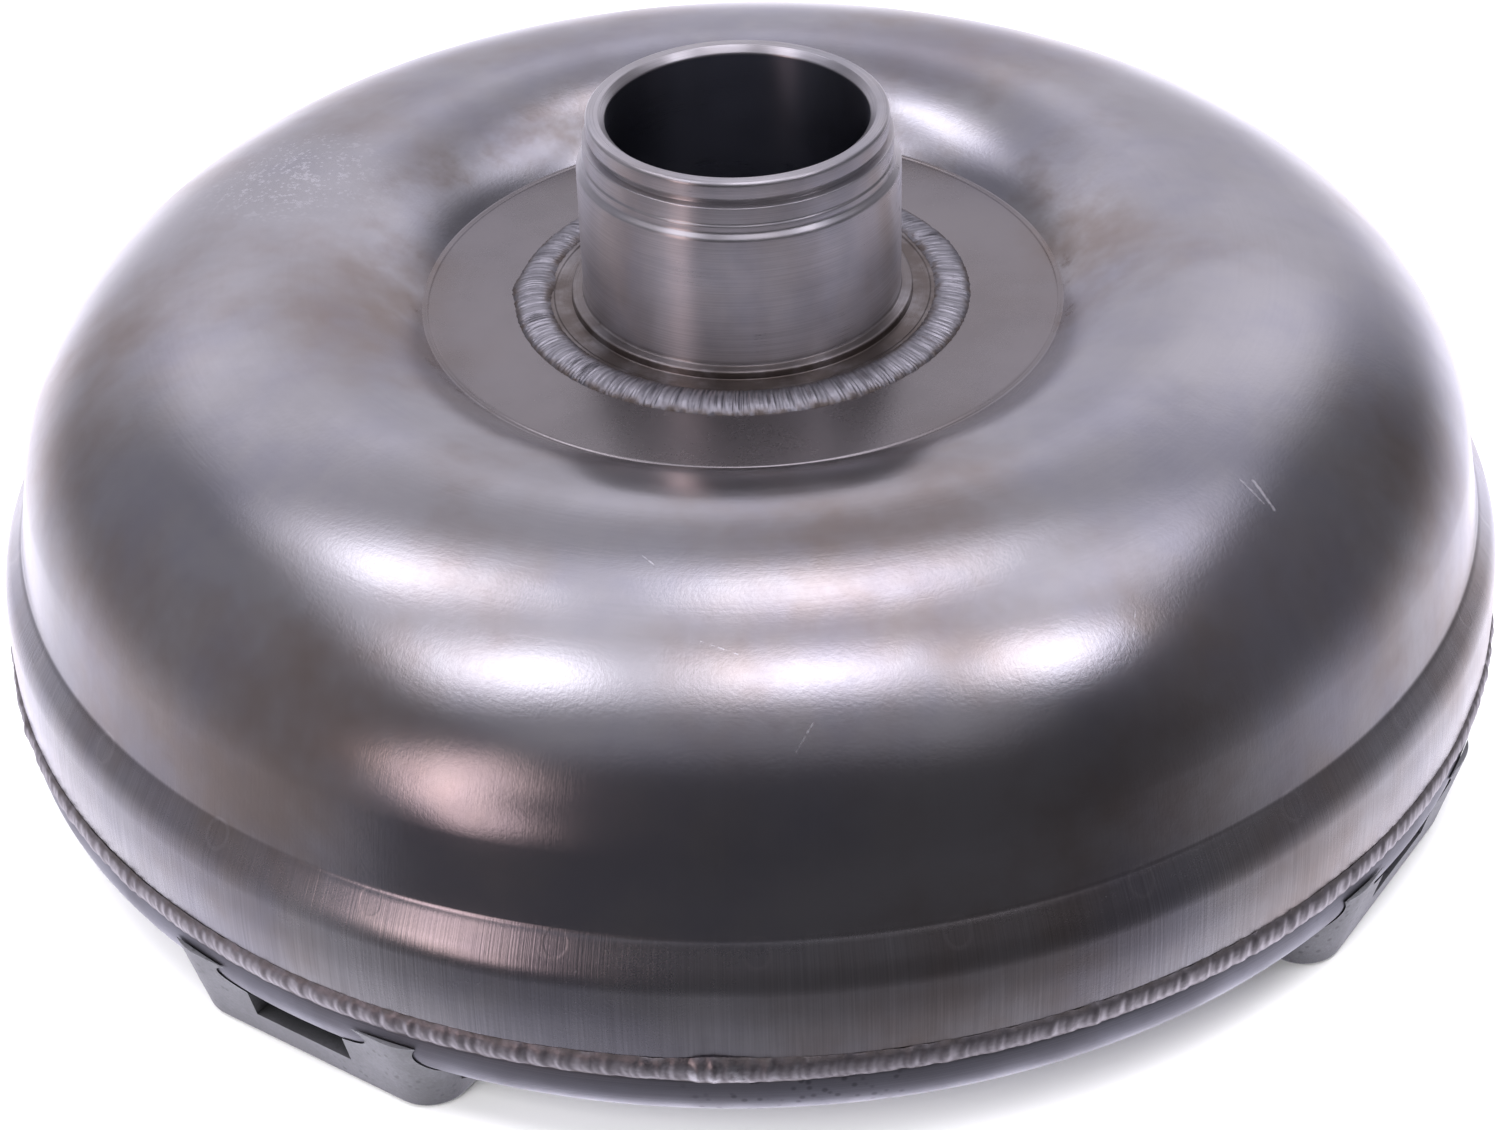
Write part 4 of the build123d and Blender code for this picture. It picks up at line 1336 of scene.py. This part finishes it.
ROSE = (1.2, 0.88, 0.88)
PANELS = (
    Panel(0, 0, 41, 26, 5, 0.62),
    Panel(0, 42, 42, 15, 8, 0.3),
    Panel(0, -37, 36, 9, 9, 0.22),
    Panel(-26, -14, 9, 6, 5, 2.5),
    Panel(5, -16, 11, 6, 5, 2.35),
    Panel(32, -15, 8, 6, 4, 2.4),
    Panel(-25, 14, 8, 5, 4, 2.2),
    Panel(6, 14, 9, 6, 5, 2.1),
    Panel(33, 10, 8, 6, 6, 0.5),
    Panel(-50, -51, 12, 8, 4, 1.1, ROSE),
    Panel(-57, -66, 9, 11, 4, 1.15, ROSE),
    Panel(-80, 0, 34, 60, 8, 0.13),
    Panel(80, 10, 30, 40, 8, 0.02),
)


@dataclass
class Studio:
    """Pale floor, soft light-tent and the camera."""

    elevation: float = 35.607
    distance: float = 0.7074
    lens: float = 78.5
    roll: float = -1.69
    tilt: float = -0.353
    aim_height: float = 0.028
    floor_half: float = 6.0

    def floor(self) -> None:
        """A pale sheet under the lugs that metal doesn't mirror, because the tent lights it instead."""
        mesh = bpy.data.meshes.new("studio_floor")
        half = self.floor_half
        corners = [(-half, -half, 0), (half, -half, 0), (half, half, 0), (-half, half, 0)]
        mesh.from_pydata(corners, [], [(0, 1, 2, 3)])
        sheet = add_object("studio_floor", mesh)
        material, wiring, shader = new_material("pale_floor")
        position = wiring.node("TexCoord").outputs["Object"]
        colour = wiring.mix(wiring.noise(position, 2.0, 2.0), (0.93, 0.93, 0.94), (0.96, 0.96, 0.96))
        wiring.fill(shader, {"Base Color": colour, "Roughness": 0.9, "Specular IOR Level": 0.1})
        mesh.materials.append(material)
        sheet.visible_glossy = False

    def lights(self) -> None:
        """Broad lamps that light the floor and cast a faint soft shadow, unseen in reflections."""
        for name, place, size, power in (
            ("lamp_top", (0.1, 0.2, 2.2), 2.6, 120.0),
            ("lamp_front", (-0.9, -1.9, 1.5), 1.8, 70.0),
        ):
            lamp = bpy.data.lights.new(name, "AREA")
            lamp.size = size
            lamp.energy = power
            piece = add_object(name, lamp)
            aim = (Vector((0, 0, 0.05)) - Vector(place)).to_track_quat("-Z", "Y")
            piece.matrix_world = Matrix.Translation(place) @ aim.to_matrix().to_4x4()
            piece.visible_glossy = False

    def tent(self) -> None:
        """World light: a dim room with lit ceiling panels, a pale back and a window at the left.

        A direction is written as degrees from straight up, along X and Y, so that each panel is a soft
        rectangle in that flat map. The camera itself sees plain white.
        """
        world = bpy.data.worlds.new("light_tent")
        bpy.context.scene.world = world
        world.use_nodes = True
        wiring = Wiring(world.node_tree)
        background = world.node_tree.nodes["Background"]
        split = wiring.node("SeparateXYZ", {0: wiring.node("TexCoord").outputs["Generated"]})
        across, depth, up = split.outputs
        flat = wiring.vector("NORMALIZE", wiring.node("CombineXYZ", {0: across, 1: depth}).outputs[0])
        upright = wiring.math("ARCCOSINE", wiring.node("Clamp", {0: up, 1: -1.0, 2: 1.0}).outputs[0])
        fall = wiring.times(upright, 180 / math.pi)
        place = wiring.node("SeparateXYZ", {0: wiring.scaled(flat.outputs[0], fall)})
        azimuth = wiring.math("ARCTAN2", across, wiring.times(depth, -1.0))
        turn = wiring.times(wiring.math("ABSOLUTE", azimuth), 180 / math.pi)

        light = self._room(wiring, fall, turn)
        for panel in PANELS:
            light = panel.add_to(wiring, place.outputs[0], place.outputs[1], light)
        seen = wiring.node("LightPath").outputs["Is Camera Ray"]
        wiring.fill(background, {"Color": wiring.mix(seen, light, (1.0, 1.0, 1.0)), "Strength": 1.0})

    def _room(self, wiring: Wiring, fall: Any, turn: Any) -> Any:
        """Light of the room itself: dark in front, brighter at the sides, pale behind and below.

        Args:
            wiring: the world's wiring.
            fall: degrees from straight up.
            turn: degrees away from the front.

        Returns:
            Colour socket.
        """
        upper = wiring.times(wiring.step(turn, 124.0, 152.0), wiring.step(fall, 40.0, 58.0, 0.0, 0.5))
        lower = wiring.times(wiring.step(turn, 62.0, 165.0), wiring.step(fall, 86.0, 112.0, 0.0, 0.75))
        back = wiring.plus(upper, lower)
        beside = wiring.times(wiring.step(turn, 45.0, 100.0), wiring.step(fall, 80.0, 125.0, 0.06, 0.3))
        ground = wiring.times(wiring.step(fall, 112.0, 150.0), wiring.step(turn, 0.0, 120.0, 0.24, 0.8))
        level = wiring.plus(wiring.plus(back, beside), wiring.plus(ground, 0.06))
        return wiring.scaled(TENT_TONE, level)

    def camera(self) -> None:
        """Camera in front, looking down at the seam's centre, with its small roll and tilt."""
        rise, turn, nod = (math.radians(a) for a in (self.elevation, self.roll, self.tilt))
        forward = Vector((0, math.cos(rise), -math.sin(rise)))
        right = Vector((1, 0, 0))
        upward = right.cross(forward)
        side = right * math.cos(turn) + upward * math.sin(turn)
        top = upward * math.cos(turn) - right * math.sin(turn)
        ahead = forward * math.cos(nod) + top * math.sin(nod)
        top = top * math.cos(nod) - forward * math.sin(nod)
        place = Vector((0, 0, self.aim_height)) - forward * self.distance
        data = bpy.data.cameras.new("studio_camera")
        data.lens = self.lens
        data.sensor_width = 36.0
        data.clip_end = 50.0
        piece = add_object("studio_camera", data)
        turned = Matrix((side, top, -ahead)).transposed()
        piece.matrix_world = Matrix.Translation(place) @ turned.to_4x4()
        bpy.context.scene.camera = piece

    def build(self) -> None:
        """Sets up floor, light and camera."""
        self.floor()
        self.lights()
        self.tent()
        self.camera()
        bpy.context.scene.view_settings.view_transform = "Standard"
        bpy.context.scene.view_settings.look = "None"


HUB_WELD = RingWeld(
    name="hub_weld_ripples", slot="hub_weld", node="hub_weld_bead",
    upper=(39.3, 93.15), lower=(46.6, 92.05), root=(43.0, 90.6),
    crown=0.95, pitch=1.45, ripple=0.065, waver=0.24, columns=1900, seed=SEED + 10, across=15,
    blobs=(Blob(176.0, 5.0, 0.6, 0.9), Blob(-62.0, 3.0, 0.2, 0.2), Blob(20.0, 7.0, 0.2, 0.2)),
)
SEAM_WELD = RingWeld(
    name="seam_weld_ripples", slot="seam_weld", node="seam_weld_bead",
    upper=(157.0, 28.2), lower=(156.85, 22.7), root=(154.2, 25.5),
    crown=0.9, pitch=1.7, ripple=0.075, waver=0.3, columns=3600, seed=SEED + 20,
    scrape_at=SEAM_END_DEG, scrape_width=5.5,
    blobs=(Blob(-93.0, 2.2, 0.35, 0.5), Blob(-89.0, 3.0, 0.2, 0.3), Blob(-52.0, 5.0, 0.15, 0.3)),
)
PILOT_WELD = RingWeld(
    name="pilot_weld_ripples", slot="lug_weld", node="pilot_weld_bead",
    upper=(28.95, 8.2), lower=(31.0, 10.05), root=(29.0, 9.9),
    crown=0.45, pitch=1.8, ripple=0.2, waver=0.2, columns=700, seed=SEED + 30,
)


def main() -> None:
    """Builds the outer pieces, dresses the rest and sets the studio."""
    logging.basicConfig(level=logging.INFO, format="%(name)s: %(message)s")
    materials = Finishes(Effects()).build()
    dresser = Dresser(materials)
    for part in (PumpShell(), PumpHub(), FrontCover(), HUB_WELD, SEAM_WELD, CrankPilot(), PILOT_WELD):
        part.build(dresser)
    InnerWorks(materials).dress()
    Studio().build()


if __name__ == "__main__":
    main()
